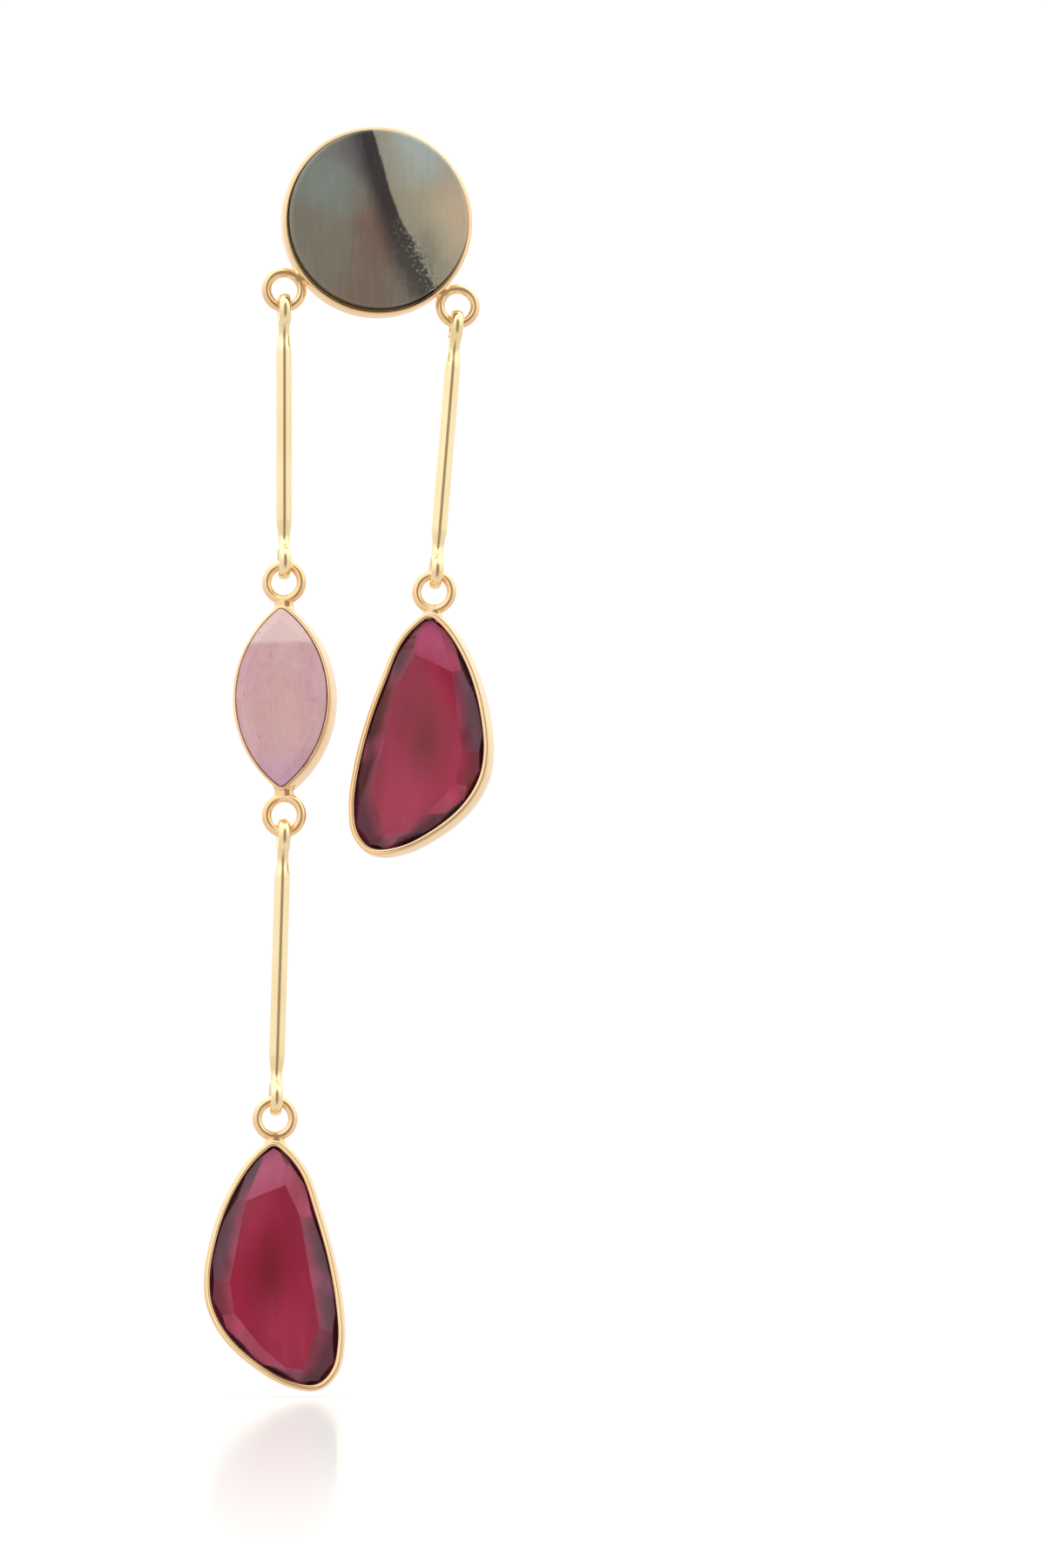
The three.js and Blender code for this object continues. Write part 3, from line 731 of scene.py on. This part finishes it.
def finish(name, paint, *values):
    """A material by its name, painted on its first use."""
    material = bpy.data.materials.get(name)
    if material is None:
        material = bpy.data.materials.new(name)
        material.use_nodes = True
        tree = material.node_tree
        paint(tree, tree.nodes["Principled BSDF"], *values)
    return material


def paint_gold(tree, shader, base, deep, roughness):
    """Polished gold plating: a pale base that goes warmer in soft patches."""
    warm = marked(tree, shader, roughness, 0.06, 0.18, 0.25).noise(260.0, 3.0).eased(0.35, 0.8, 0.0, 0.7)
    feed(shader, {"Base Color": warm.mix(base, deep), "Metallic": 1.0})


def setting_gold(colours):
    """The gold of the rings, bezels and cup: the bars' gold made warmer, a painted warm reflection."""
    return finish("Warm polished gold", paint_gold, colours.warm_reflection_gold, tint(244, 202, 152), 0.12)


def bar_gold(colours):
    """The gold of the bars."""
    return finish("Pale polished gold", paint_gold, colours.gold, tint(244, 220, 172), 0.11)


def layered(shade, layers):
    """A colour with others laid over it in turn, each by its mask."""
    for mask, hue in layers:
        shade = mask.mix(shade, hue)
    return shade


def patched(at, base, patches):
    """A colour with soft oval patches of others, each given by its middle and its half axes, as [x, z],
    its share and its colour."""
    for (x, z), (wide, high), share, hue in patches:
        off = at.mapped(Location=(-x / wide, 0.0, -z / high), Scale=(1 / wide, 0.0, 1 / high)).distance()
        base = (off.eased(1.0, 0.15) * share).mix(base, hue)
    return base


def paint_shell(tree, shader, colours, radius):
    """Grey mother-of-pearl: soft patches of hue, and a dark growth band that curves across the disc from
    top left to bottom right, with a clear right edge that is speckled low down and a faded left one."""
    disc = marked(tree, shader, 0.16, 0.06, 0.08, 0.1).mapped(Scale=(1 / radius, 1 / radius, 1 / radius))
    x, _, z = disc.parts()
    drift = disc.noise(2.4, 3.0, result="Color").vector("SUBTRACT", (0.5, 0.5, 0.5))
    warped = disc.vector("ADD", drift.vector("MULTIPLY", (0.5, 0.5, 0.5)))
    ragged = disc.noise(15.0, 5.0, 0.7)
    speckle = disc.noise(26.0, 3.0, 0.7)
    grain = disc.mapped(Scale=(9.0, 1.0, 1.1), Rotation=(0, -0.12, 0)).noise(2.0, 5.0, 0.62)
    low = z.eased(0.15, -0.5)
    edge = 0.2 - z * 0.28 + (0.1 - z).maths("SMOOTH_MAX", 0.0, 0.5) * 0.24
    beside = x - edge + (ragged - 0.5) * (low * 0.22 + 0.04)
    left = patched(warped, colours.shell_grey, (
        ((-0.6, 0.4), (0.6, 0.6), 0.95, colours.shell_blue),
        ((-0.2, 0.75), (0.5, 0.5), 0.9, colours.shell_purple),
        ((-0.15, -0.95), (0.7, 0.6), 0.8, colours.shell_olive),
        ((-0.02, -0.2), (0.42, 0.75), 0.95, colours.shell_brown)))
    right = patched(warped, colours.shell_beige, (
        ((0.45, 0.85), (0.6, 0.7), 0.95, colours.shell_light),
        ((0.95, 0.05), (0.45, 0.8), 0.9, colours.shell_pink),
        ((0.45, -0.5), (0.35, 0.5), 0.6, colours.shell_grey)))
    right = beside.eased(0.4, 0.0, 0.0, 0.35).mix(right, colours.shell_grey)
    shade = beside.eased(-0.02, 0.02).mix(left, right)
    faded = (beside / (low * 0.15 + 0.36)).eased(-1.0, -0.3)
    near = abs(beside + 0.01).eased(0.17, 0.05) * low
    shade = layered(shade, (
        (faded * beside.eased(0.02, -0.02) * (0.92 - low * 0.14), colours.shell_dark),
        (speckle.eased(0.54, 0.62, 0.0, 0.55) * near, colours.shell_light),
        (speckle.eased(0.46, 0.38, 0.0, 0.5) * near, colours.shell_dark),
        (grain.eased(0.45, 0.75, 0.0, 0.11), colours.shell_dark),
        (grain.eased(0.5, 0.2, 0.0, 0.08), colours.shell_light)))
    feed(shader, {"Base Color": shade, "Specular IOR Level": 0.4})


def paint_quartz(tree, shader, colours):
    """Milky rose quartz on the stone's own plan: a lighter top with a soft lower edge, a beige middle, a
    lilac foot, faint clouds and a few tiny inclusions."""
    marked(tree, shader, 0.16, 0.05, 0.06, 0.08)
    plan = put(tree, "UVMap", {}, uv_map="plan")
    up = plan.parts()[1]
    clouds, veins = effect(tree, "Stone clouds", stone_clouds, ("Clouds", "Veins"), plan,
                           Scale=3.4, Bend=0.6)
    middle = plan.mapped(Location=(0.0, 1.5, 0.0), Scale=(2.4, 2.6, 1.0)).distance()
    grains = put(tree, "TexVoronoi", {"Vector": plan, "Scale": 9.0})
    shade = layered(colours.quartz, (
        (clouds * 0.3, colours.quartz_milk),
        (middle.eased(1.0, 0.1, 0.0, 0.6), colours.quartz_beige),
        (up.eased(-0.21, -0.175, 0.0, 0.8), colours.quartz_milk),
        (up.eased(-0.72, -0.98, 0.0, 0.8), colours.quartz_lilac),
        (grains.eased(0.09, 0.04, 0.0, 0.5), colours.glass_violet),
        (veins * 0.14, colours.quartz_milk)))
    feed(shader, {"Base Color": shade, "Transmission Weight": 0.1, "IOR": 1.54, "Specular IOR Level": 0.25})


def paint_glass(tree, shader, colours):
    """Ruby-red glass whose colours paint the cut stone's light and shade. Each facet has its own tone,
    brighter towards the table, a painted highlight, and darker towards the rim, a painted shade, with
    soft patches of lighter and darker painted reflection. The table is darkest in a tall oval at its
    middle, a painted shade, and brighter at its foot, painted light through the stone, with soft inner
    streaks."""
    marked(tree, shader, 0.03, 0.03, 0.05, 0.06)
    tone = put(tree, "Attribute", {}, "Fac", attribute_name="facet_tone")
    depth = put(tree, "Attribute", {}, "Fac", attribute_name="crown_depth")
    plan = put(tree, "UVMap", {}, uv_map="plan")
    ramp = put(tree, "ValToRGB", {"Fac": tone}, "Color")
    stops = ramp.socket.node.color_ramp.elements
    while len(stops) < len(TONES):
        stops.new(0.5)
    for stop, (name, place_on) in zip(stops, TONES.items()):
        stop.position = place_on
        stop.color = (*getattr(colours, "glass_" + name), 1.0)
    table = tone.maths("COMPARE", TONES["red"], 0.05)
    facets = 1.0 - table
    shifted = plan.mapped(Location=(0.3, 2.6, 0.0), Scale=(5.6, 5.0, 1.0))
    oval = shifted.vector("ADD", plan.noise(4.0, 1.0, result="Color")).distance((0.5, 0.5, 0.0))
    glow = plan.mapped(Location=(-0.3, 2.6, 0.0), Scale=(2.6, 3.2, 1.0)).distance()
    streaks = plan.mapped(Scale=(9.0, 1.5, 1.0)).noise(1.0, 3.0)
    reflection_patches = plan.noise(4.5, 1.0)
    # Painted light: rose towards the table and plum towards the rim on the facets, painted shade in the
    # table's middle oval, a painted glow at its foot, and patches of lighter and darker painted reflection.
    shade = layered(ramp, (
        (depth.eased(0.6, 0.0, 0.0, 0.55) * facets, colours.glass_rose),
        (depth.eased(0.5, 1.0, 0.0, 0.5) * facets, colours.glass_plum),
        (oval.eased(1.6, 0.1) * table, colours.glass_wine),
        (glow.eased(1.0, 0.2) * 0.45 * table, colours.glass_rose),
        (streaks.eased(0.35, 0.7, 0.0, 0.25), colours.glass_wine),
        (reflection_patches.eased(0.5, 0.72, 0.0, 0.4) * facets, colours.glass_mauve),
        (reflection_patches.eased(0.5, 0.3, 0.0, 0.5) * facets, colours.glass_edge)))
    feed(shader, {"Base Color": shade, "Transmission Weight": 0.5, "IOR": 1.52, "Specular IOR Level": 0.35})


def paint_plastic(tree, shader, colours):
    """Clear, slightly smoky plastic."""
    haze = marked(tree, shader, 0.12, 0.1, 0.2, 0.15).noise(300.0, 3.0).eased(0.3, 0.8, 0.0, 0.5)
    shade = haze.mix(colours.plastic, [0.85 * value for value in colours.plastic])
    feed(shader, {"Base Color": shade, "Transmission Weight": 0.85, "IOR": 1.46})


# Stage

WHITE = (1.0, 1.0, 1.0)


def studio_world():
    """Soft white all round for reflections, with one warm darker panel in front, where a camera and its
    stand would be, and plain white behind everything."""
    world = bpy.data.worlds.new("Studio")
    bpy.context.scene.world = world
    world.use_nodes = True
    tree = world.node_tree
    tree.nodes.clear()
    x, y, z = put(tree, "TexCoord", {}, "Generated").parts()
    off = abs(x.maths("ARCTAN2", y * -1.0) - math.radians(2.0))
    panel = off.eased(math.radians(27), math.radians(14)) * abs(z).eased(0.9, 0.45)
    sky = z.eased(-0.3, 0.9).mix((0.92, 0.86, 0.78), (1.5, 1.48, 1.42))
    lit = put(tree, "Background", {"Color": panel.mix(sky, (0.4, 0.33, 0.23)), "Strength": 0.95})
    plain = put(tree, "Background", {"Color": WHITE, "Strength": 1.05})
    camera_ray = put(tree, "LightPath", {}, "Is Camera Ray")
    both = put(tree, "MixShader", {0: camera_ray, 1: lit, 2: plain})
    feed(tree.nodes.new("ShaderNodeOutputWorld"), {"Surface": both})


def paint_floor(tree, shader, floor_colour):
    """White floor that glows a little, so that it is as white as the backdrop. It is polished round the
    earring, where it holds a faint reflection, and matt further off."""
    tree.nodes.remove(shader)
    plain = put(tree, "BsdfDiffuse", {"Color": [0.4 * value for value in floor_colour]})
    glow = put(tree, "Emission", {"Color": WHITE, "Strength": 0.62})
    both = put(tree, "AddShader", {0: plain, 1: glow})
    away = put(tree, "TexCoord", {}, "Object").distance()
    gloss = put(tree, "BsdfGlossy", {"Color": WHITE, "Roughness": 0.07})
    both = put(tree, "MixShader", {0: away.eased(0.38, 0.12, 0.0, 0.38), 1: both, 2: gloss})
    feed(tree.nodes["Material Output"], {"Surface": both})


def softbox(name, location, target, size, power):
    """A square area light turned towards a point."""
    light = bpy.data.lights.new(name, "AREA")
    light.shape = "SQUARE"
    light.size = size
    light.energy = power
    lamp = bpy.data.objects.new(name, light)
    lamp.visible_glossy = False
    lamp.location = location
    lamp.rotation_euler = (Vector(target) - Vector(location)).to_track_quat("-Z", "Y").to_euler()
    bpy.context.scene.collection.objects.link(lamp)


class EARRING_OT_stage(bpy.types.Operator):
    """Lay the floor, set the light and put the camera at the photograph's angle"""

    bl_idname = "earring.stage"
    bl_label = "Stage"

    def execute(self, context):
        stage = context.scene.earring_stage
        context.scene.view_settings.view_transform = "Standard"
        studio_world()
        level = packed_box[0][2] - stage.floor_gap
        half = stage.floor_size / 2
        mesh = bpy.data.meshes.new("floor")
        corners = np.array([(-1, -1), (1, -1), (1, 1), (-1, 1)]) * half
        points = np.column_stack([corners, np.full(4, level)])
        mesh.from_pydata(points.tolist(), [], [(0, 1, 2, 3)])
        mesh.materials.append(finish("White floor", paint_floor, stage.floor_colour))
        floor = bpy.data.objects.new("floor", mesh)
        floor.visible_glossy = False
        context.scene.collection.objects.link(floor)
        aim = Vector(stage.aim)
        softbox("key_light", aim + Vector((-0.25, -0.3, 0.3)), aim, 0.25, 0.4)
        softbox("fill_light", aim + Vector((0.32, -0.2, 0.1)), aim, 0.25, 0.1)
        softbox("top_light", aim + Vector((0.0, 0.1, 0.4)), aim, 0.3, 0.3)
        camera = bpy.data.cameras.new("camera")
        camera.sensor_fit = "AUTO"
        camera.sensor_width = 36.0
        camera.lens = camera.sensor_width * stage.distance / stage.view_height
        camera.clip_start = 0.01
        camera.clip_end = 20.0
        eye = bpy.data.objects.new("camera", camera)
        a, e = stage.azimuth, stage.elevation
        away = Vector((math.sin(a) * math.cos(e), -math.cos(a) * math.cos(e), math.sin(e)))
        eye.location = aim + away * stage.distance
        eye.rotation_euler = (-away).to_track_quat("-Z", "Y").to_euler()
        context.scene.collection.objects.link(eye)
        context.scene.camera = eye
        return {"FINISHED"}


class EARRING_OT_top(bpy.types.Operator):
    """Build the cup with its rings and post, the shell disc and the nut"""

    bl_idname = "earring.top"
    bl_label = "Top"

    def execute(self, context):
        metal = context.scene.earring_metal
        stones = context.scene.earring_stones
        colours = context.scene.earring_colours
        inner = stones.disc_diameter / 2 + stones.stone_gap
        outer = inner + metal.cup_wall
        depth = metal.cup_floor + stones.stone_gap + stones.disc_thickness - stones.disc_proud
        corners = [(0, -metal.cup_floor), (inner, -metal.cup_floor), (inner - metal.lip_press, -depth),
                   (outer - metal.lip_press, -depth), (outer, -depth + 2 * metal.cup_wall), (outer, 0),
                   (0, 0)]
        cut = np.array([0, 0.5, 0, 0, 2, 1.2, 0])[:, None] * metal.edge_round
        cut[2:4] = MOST_ROUND * metal.cup_wall
        shapes = [spun(soften(corners, cut), 192), self.post(metal)]
        reach = outer + seam_drop(metal)
        for bar_name in ("left_upper_bar", "right_bar"):
            centre = np.array(HINGES[bar_name] - downwards(bar_name) * metal.ring_radius)
            clock = math.atan2(centre[0], centre[2])
            seam = np.array([math.sin(clock) * outer, centre[1], math.cos(clock) * outer])
            if abs(np.hypot(centre[0], centre[2]) - reach) > 0.01 * MM:
                raise RuntimeError("the rings no longer meet the cup: its size differs from the packed one")
            shapes.append(flat_ring(metal, centre))
            shapes.append(solder_neck(metal, seam, clock, 0.06 * MM))
        smooth_piece("cup_with_rings_and_post", shapes, setting_gold(colours), "top",
                     "disc_setting")
        self.disc(metal, stones, colours)
        self.nut(metal, stones, colours)
        return {"FINISHED"}

    @staticmethod
    def post(metal):
        """The post's profile: a soldered foot, a straight wire with a groove for the nut, a round tip."""
        radius = metal.post_wire / 2
        foot, foot_height, foot_rise, foot_end = (size * MM for size in (0.85, 0.12, 0.22, 0.5))
        sunk = -metal.cup_floor / 2
        tip = metal.post_length
        taper = 0.45 * MM
        groove = tip - 3 * metal.post_wire
        waist = radius - 0.12 * MM
        corners = [(0, sunk), (foot, sunk), (foot, foot_height), (radius * 1.2, foot_rise),
                   (radius, foot_end), (radius, groove), (waist, groove + radius),
                   (radius, groove + 2 * radius), (radius, tip - taper), (radius * 0.5, tip), (0, tip)]
        return spun(soften(corners, 0.11 * MM), 48)

    @staticmethod
    def disc(metal, stones, colours):
        """The shell disc: flat, with a narrow polished bevel round its front."""
        radius = stones.disc_diameter / 2
        back = -metal.cup_floor - stones.stone_gap
        front = back - stones.disc_thickness
        bevel = 0.18 * MM
        corners = [(0, front), (radius - bevel, front), (radius, front + bevel), (radius, back), (0, back)]
        smooth_piece("shell_disc", [spun(soften(corners, 0.09 * MM), 192)],
                     finish("Grey shell", paint_shell, colours, radius), "top", "disc_stone")

    @staticmethod
    def nut(metal, stones, colours):
        """The nut: a bored round plate with a short hub behind it, all edges well rounded."""
        clearance = 0.07 * MM
        bore = metal.post_wire / 2 + clearance
        rim = stones.nut_diameter / 2
        hub = stones.nut_hub / 2
        face = stones.lobe_gap
        back = face + stones.nut_plate
        end = back + stones.nut_hub_length
        corners = [(bore, face), (rim, face), (rim, back), (hub, back), (hub, end), (bore, end)]
        cut = np.array([0.12, 0.4, 0.4, 0.3, 0.4, 0.12])[:, None] * MM
        smooth_piece("ear_nut_plate", [spun(soften(corners, cut, closed=True), 96, closed=True)],
                     finish("Clear plastic", paint_plastic, colours), "top", "ear_nut")


class EARRING_OT_bars(bpy.types.Operator):
    """Build the three wire bars with an eye bent at each end"""

    bl_idname = "earring.bars"
    bl_label = "Bars"

    def execute(self, context):
        metal = context.scene.earring_metal
        gold = bar_gold(context.scene.earring_colours)
        for name, between in BAR_LENGTHS.items():
            shapes = [bar_shank(metal, between)]
            for middle in (-eye_offset(metal), eye_offset(metal) - between):
                shapes.append(bar_eye(metal, middle))
            smooth_piece(name + "_wire", shapes, gold, name, name, HINGES[name], HANG[name])
        return {"FINISHED"}


class EARRING_OT_marquise(bpy.types.Operator):
    """Build the marquise setting with a ring at each tip, and its stone"""

    bl_idname = "earring.marquise"
    bl_label = "Marquise"

    def execute(self, context):
        metal = context.scene.earring_metal
        stones = context.scene.earring_stones
        colours = context.scene.earring_colours
        placing = HANG["marquise"]
        y = placing["back"]
        seam = seam_drop(metal) + metal.marquise_neck / 2
        tip = seam + metal.marquise_neck / 2 + metal.marquise_wall + stones.stone_gap
        line, normals = marquise_outline(stones)
        outline = (line - (0, tip), normals)
        span = 2 * tip + stones.marquise_height
        shapes = [
            bezel(metal, stones, outline, y, metal.marquise_wall),
            flat_ring(metal, np.zeros(3)),
            flat_ring(metal, np.array([0, 0, -span])),
            solder_neck(metal, np.array([0, 0, -seam]), 0.0, 0.5 * MM, metal.marquise_neck),
            solder_neck(metal, np.array([0, 0, seam - span]), math.pi, 0.5 * MM, metal.marquise_neck),
        ]
        at = upper_ring(metal, "marquise", "left_upper_bar")
        smooth_piece("marquise_bezel", shapes, setting_gold(colours), "marquise",
                     "marquise_setting", at, placing)
        front = y - metal.bezel_depth / 2 - stones.proud
        back = y + metal.bezel_depth / 2 - metal.seat_thickness - stones.stone_gap
        wide, high = stones.marquise_width / 2, stones.marquise_height / 2
        sweep = math.atan2(2 * wide * high, high ** 2 - wide ** 2)
        cuts = []
        for i in range(MARQUISE_FACETS_PER_SIDE):
            tilt = sweep * (1 - 2 * (i + 0.5) / MARQUISE_FACETS_PER_SIDE)
            for clock in (math.pi / 2 - tilt, 3 * math.pi / 2 + tilt):
                at_edge, normal = facet_plane(outline[0], clock, stones.marquise_reach,
                                              front + stones.marquise_crown, front)
                cuts.append((at_edge, normal, 0.0))
        rim = (0.01 * MM, front + 0.6 * MM)
        body = cut_stone(outline, front, back, rim, cuts, stones.facet_edge)
        mesh = stone_mesh("marquise_quartz", body, at, placing,
                          (stones.marquise_width, stones.marquise_height, tip),
                          (front, stones.marquise_crown), 1)
        place("marquise_quartz", mesh, finish("Rose quartz", paint_quartz, colours), "marquise",
              "marquise_stone")
        return {"FINISHED"}


class EARRING_OT_drops(bpy.types.Operator):
    """Build the two free-form drops, mirror images of each other"""

    bl_idname = "earring.drops"
    bl_label = "Drops"

    def execute(self, context):
        for name, bar_name, mirrored in (("left_pendant", "left_lower_bar", False),
                                         ("right_pendant", "right_bar", True)):
            self.drop(context.scene, name, bar_name, mirrored)
        return {"FINISHED"}

    @staticmethod
    def drop(scene, name, bar_name, mirrored):
        """One drop: its bezel with a ring, and its stone with the listed facets front and back."""
        metal, stones, colours = scene.earring_metal, scene.earring_stones, scene.earring_colours
        placing = HANG[name]
        y = placing["back"]
        side = -1 if mirrored else 1
        seam = seam_drop(metal)
        tip = seam + metal.bezel_wall + stones.stone_gap
        line, normals = drop_outline(stones, mirrored)
        outline = (line - (0, tip), normals)
        shapes = [
            bezel(metal, stones, outline, y, metal.bezel_wall),
            flat_ring(metal, np.zeros(3)),
            solder_neck(metal, np.array([0, 0, -seam]), 0.0, 0.5 * MM),
        ]
        at = upper_ring(metal, name, bar_name)
        smooth_piece(name + "_bezel", shapes, setting_gold(colours), name, name + "_setting", at,
                     placing)
        front = y - metal.bezel_depth / 2 - stones.proud
        back = y + metal.bezel_depth / 2 - metal.seat_thickness - stones.stone_gap
        cuts = []
        for facets, edge, flat in ((CROWN, front + stones.crown, front),
                                   (GIRDLE, front + stones.crown + stones.girdle, front),
                                   (PAVILION, back - stones.pavilion, back)):
            for clock, reach, *tones in facets:
                at_edge, normal = facet_plane(outline[0], side * math.radians(clock),
                                              reach * stones.drop_width, edge, flat)
                cuts.append((at_edge, normal, TONES[tones[mirrored]]))
        rim = (0.14 * MM, front + stones.crown + 0.03 * MM)
        # Its tones: the table's own red, a painted shade round the rim and a painted highlight on the
        # polished edges.
        body = cut_stone(outline, front, back, rim, cuts, stones.facet_edge, TONES["red"], TONES["edge"],
                         TONES["mauve" if mirrored else "rose"])
        mesh = stone_mesh(name + "_glass", body, at, placing, (stones.drop_width, stones.drop_height, tip),
                          (front, stones.crown), side)
        place(name + "_glass", mesh, finish("Ruby glass", paint_glass, colours), name,
              name + "_stone")


OPERATORS = (EARRING_OT_stage, EARRING_OT_top, EARRING_OT_bars, EARRING_OT_marquise, EARRING_OT_drops)
GROUPS = {"earring_metal": EarringMetal, "earring_stones": EarringStones,
          "earring_colours": EarringColours, "earring_stage": EarringStage}


class EARRING_PT_panel(bpy.types.Panel):
    """Lists the earring's pieces with their sizes and colours"""

    bl_idname = "EARRING_PT_panel"
    bl_label = "Drop earring"
    bl_space_type = "VIEW_3D"
    bl_region_type = "UI"
    bl_category = "Earring"

    def draw(self, context):
        layout = self.layout
        for operator in OPERATORS:
            layout.operator(operator.bl_idname)
        for name, group in GROUPS.items():
            box = layout.box()
            box.label(text=group.__doc__)
            for value in group.__annotations__:
                box.prop(getattr(context.scene, name), value)


def register():
    for group in GROUPS.values():
        bpy.utils.register_class(group)
    for name, group in GROUPS.items():
        setattr(bpy.types.Scene, name, PointerProperty(type=group))
    for operator in OPERATORS:
        bpy.utils.register_class(operator)
    bpy.utils.register_class(EARRING_PT_panel)


def unregister():
    bpy.utils.unregister_class(EARRING_PT_panel)
    for operator in reversed(OPERATORS):
        bpy.utils.unregister_class(operator)
    for name, group in reversed(GROUPS.items()):
        delattr(bpy.types.Scene, name)
        bpy.utils.unregister_class(group)


def main():
    register()
    bpy.ops.earring.stage()
    bpy.ops.earring.top()
    bpy.ops.earring.bars()
    bpy.ops.earring.marquise()
    bpy.ops.earring.drops()


if __name__ == "__main__":
    main()
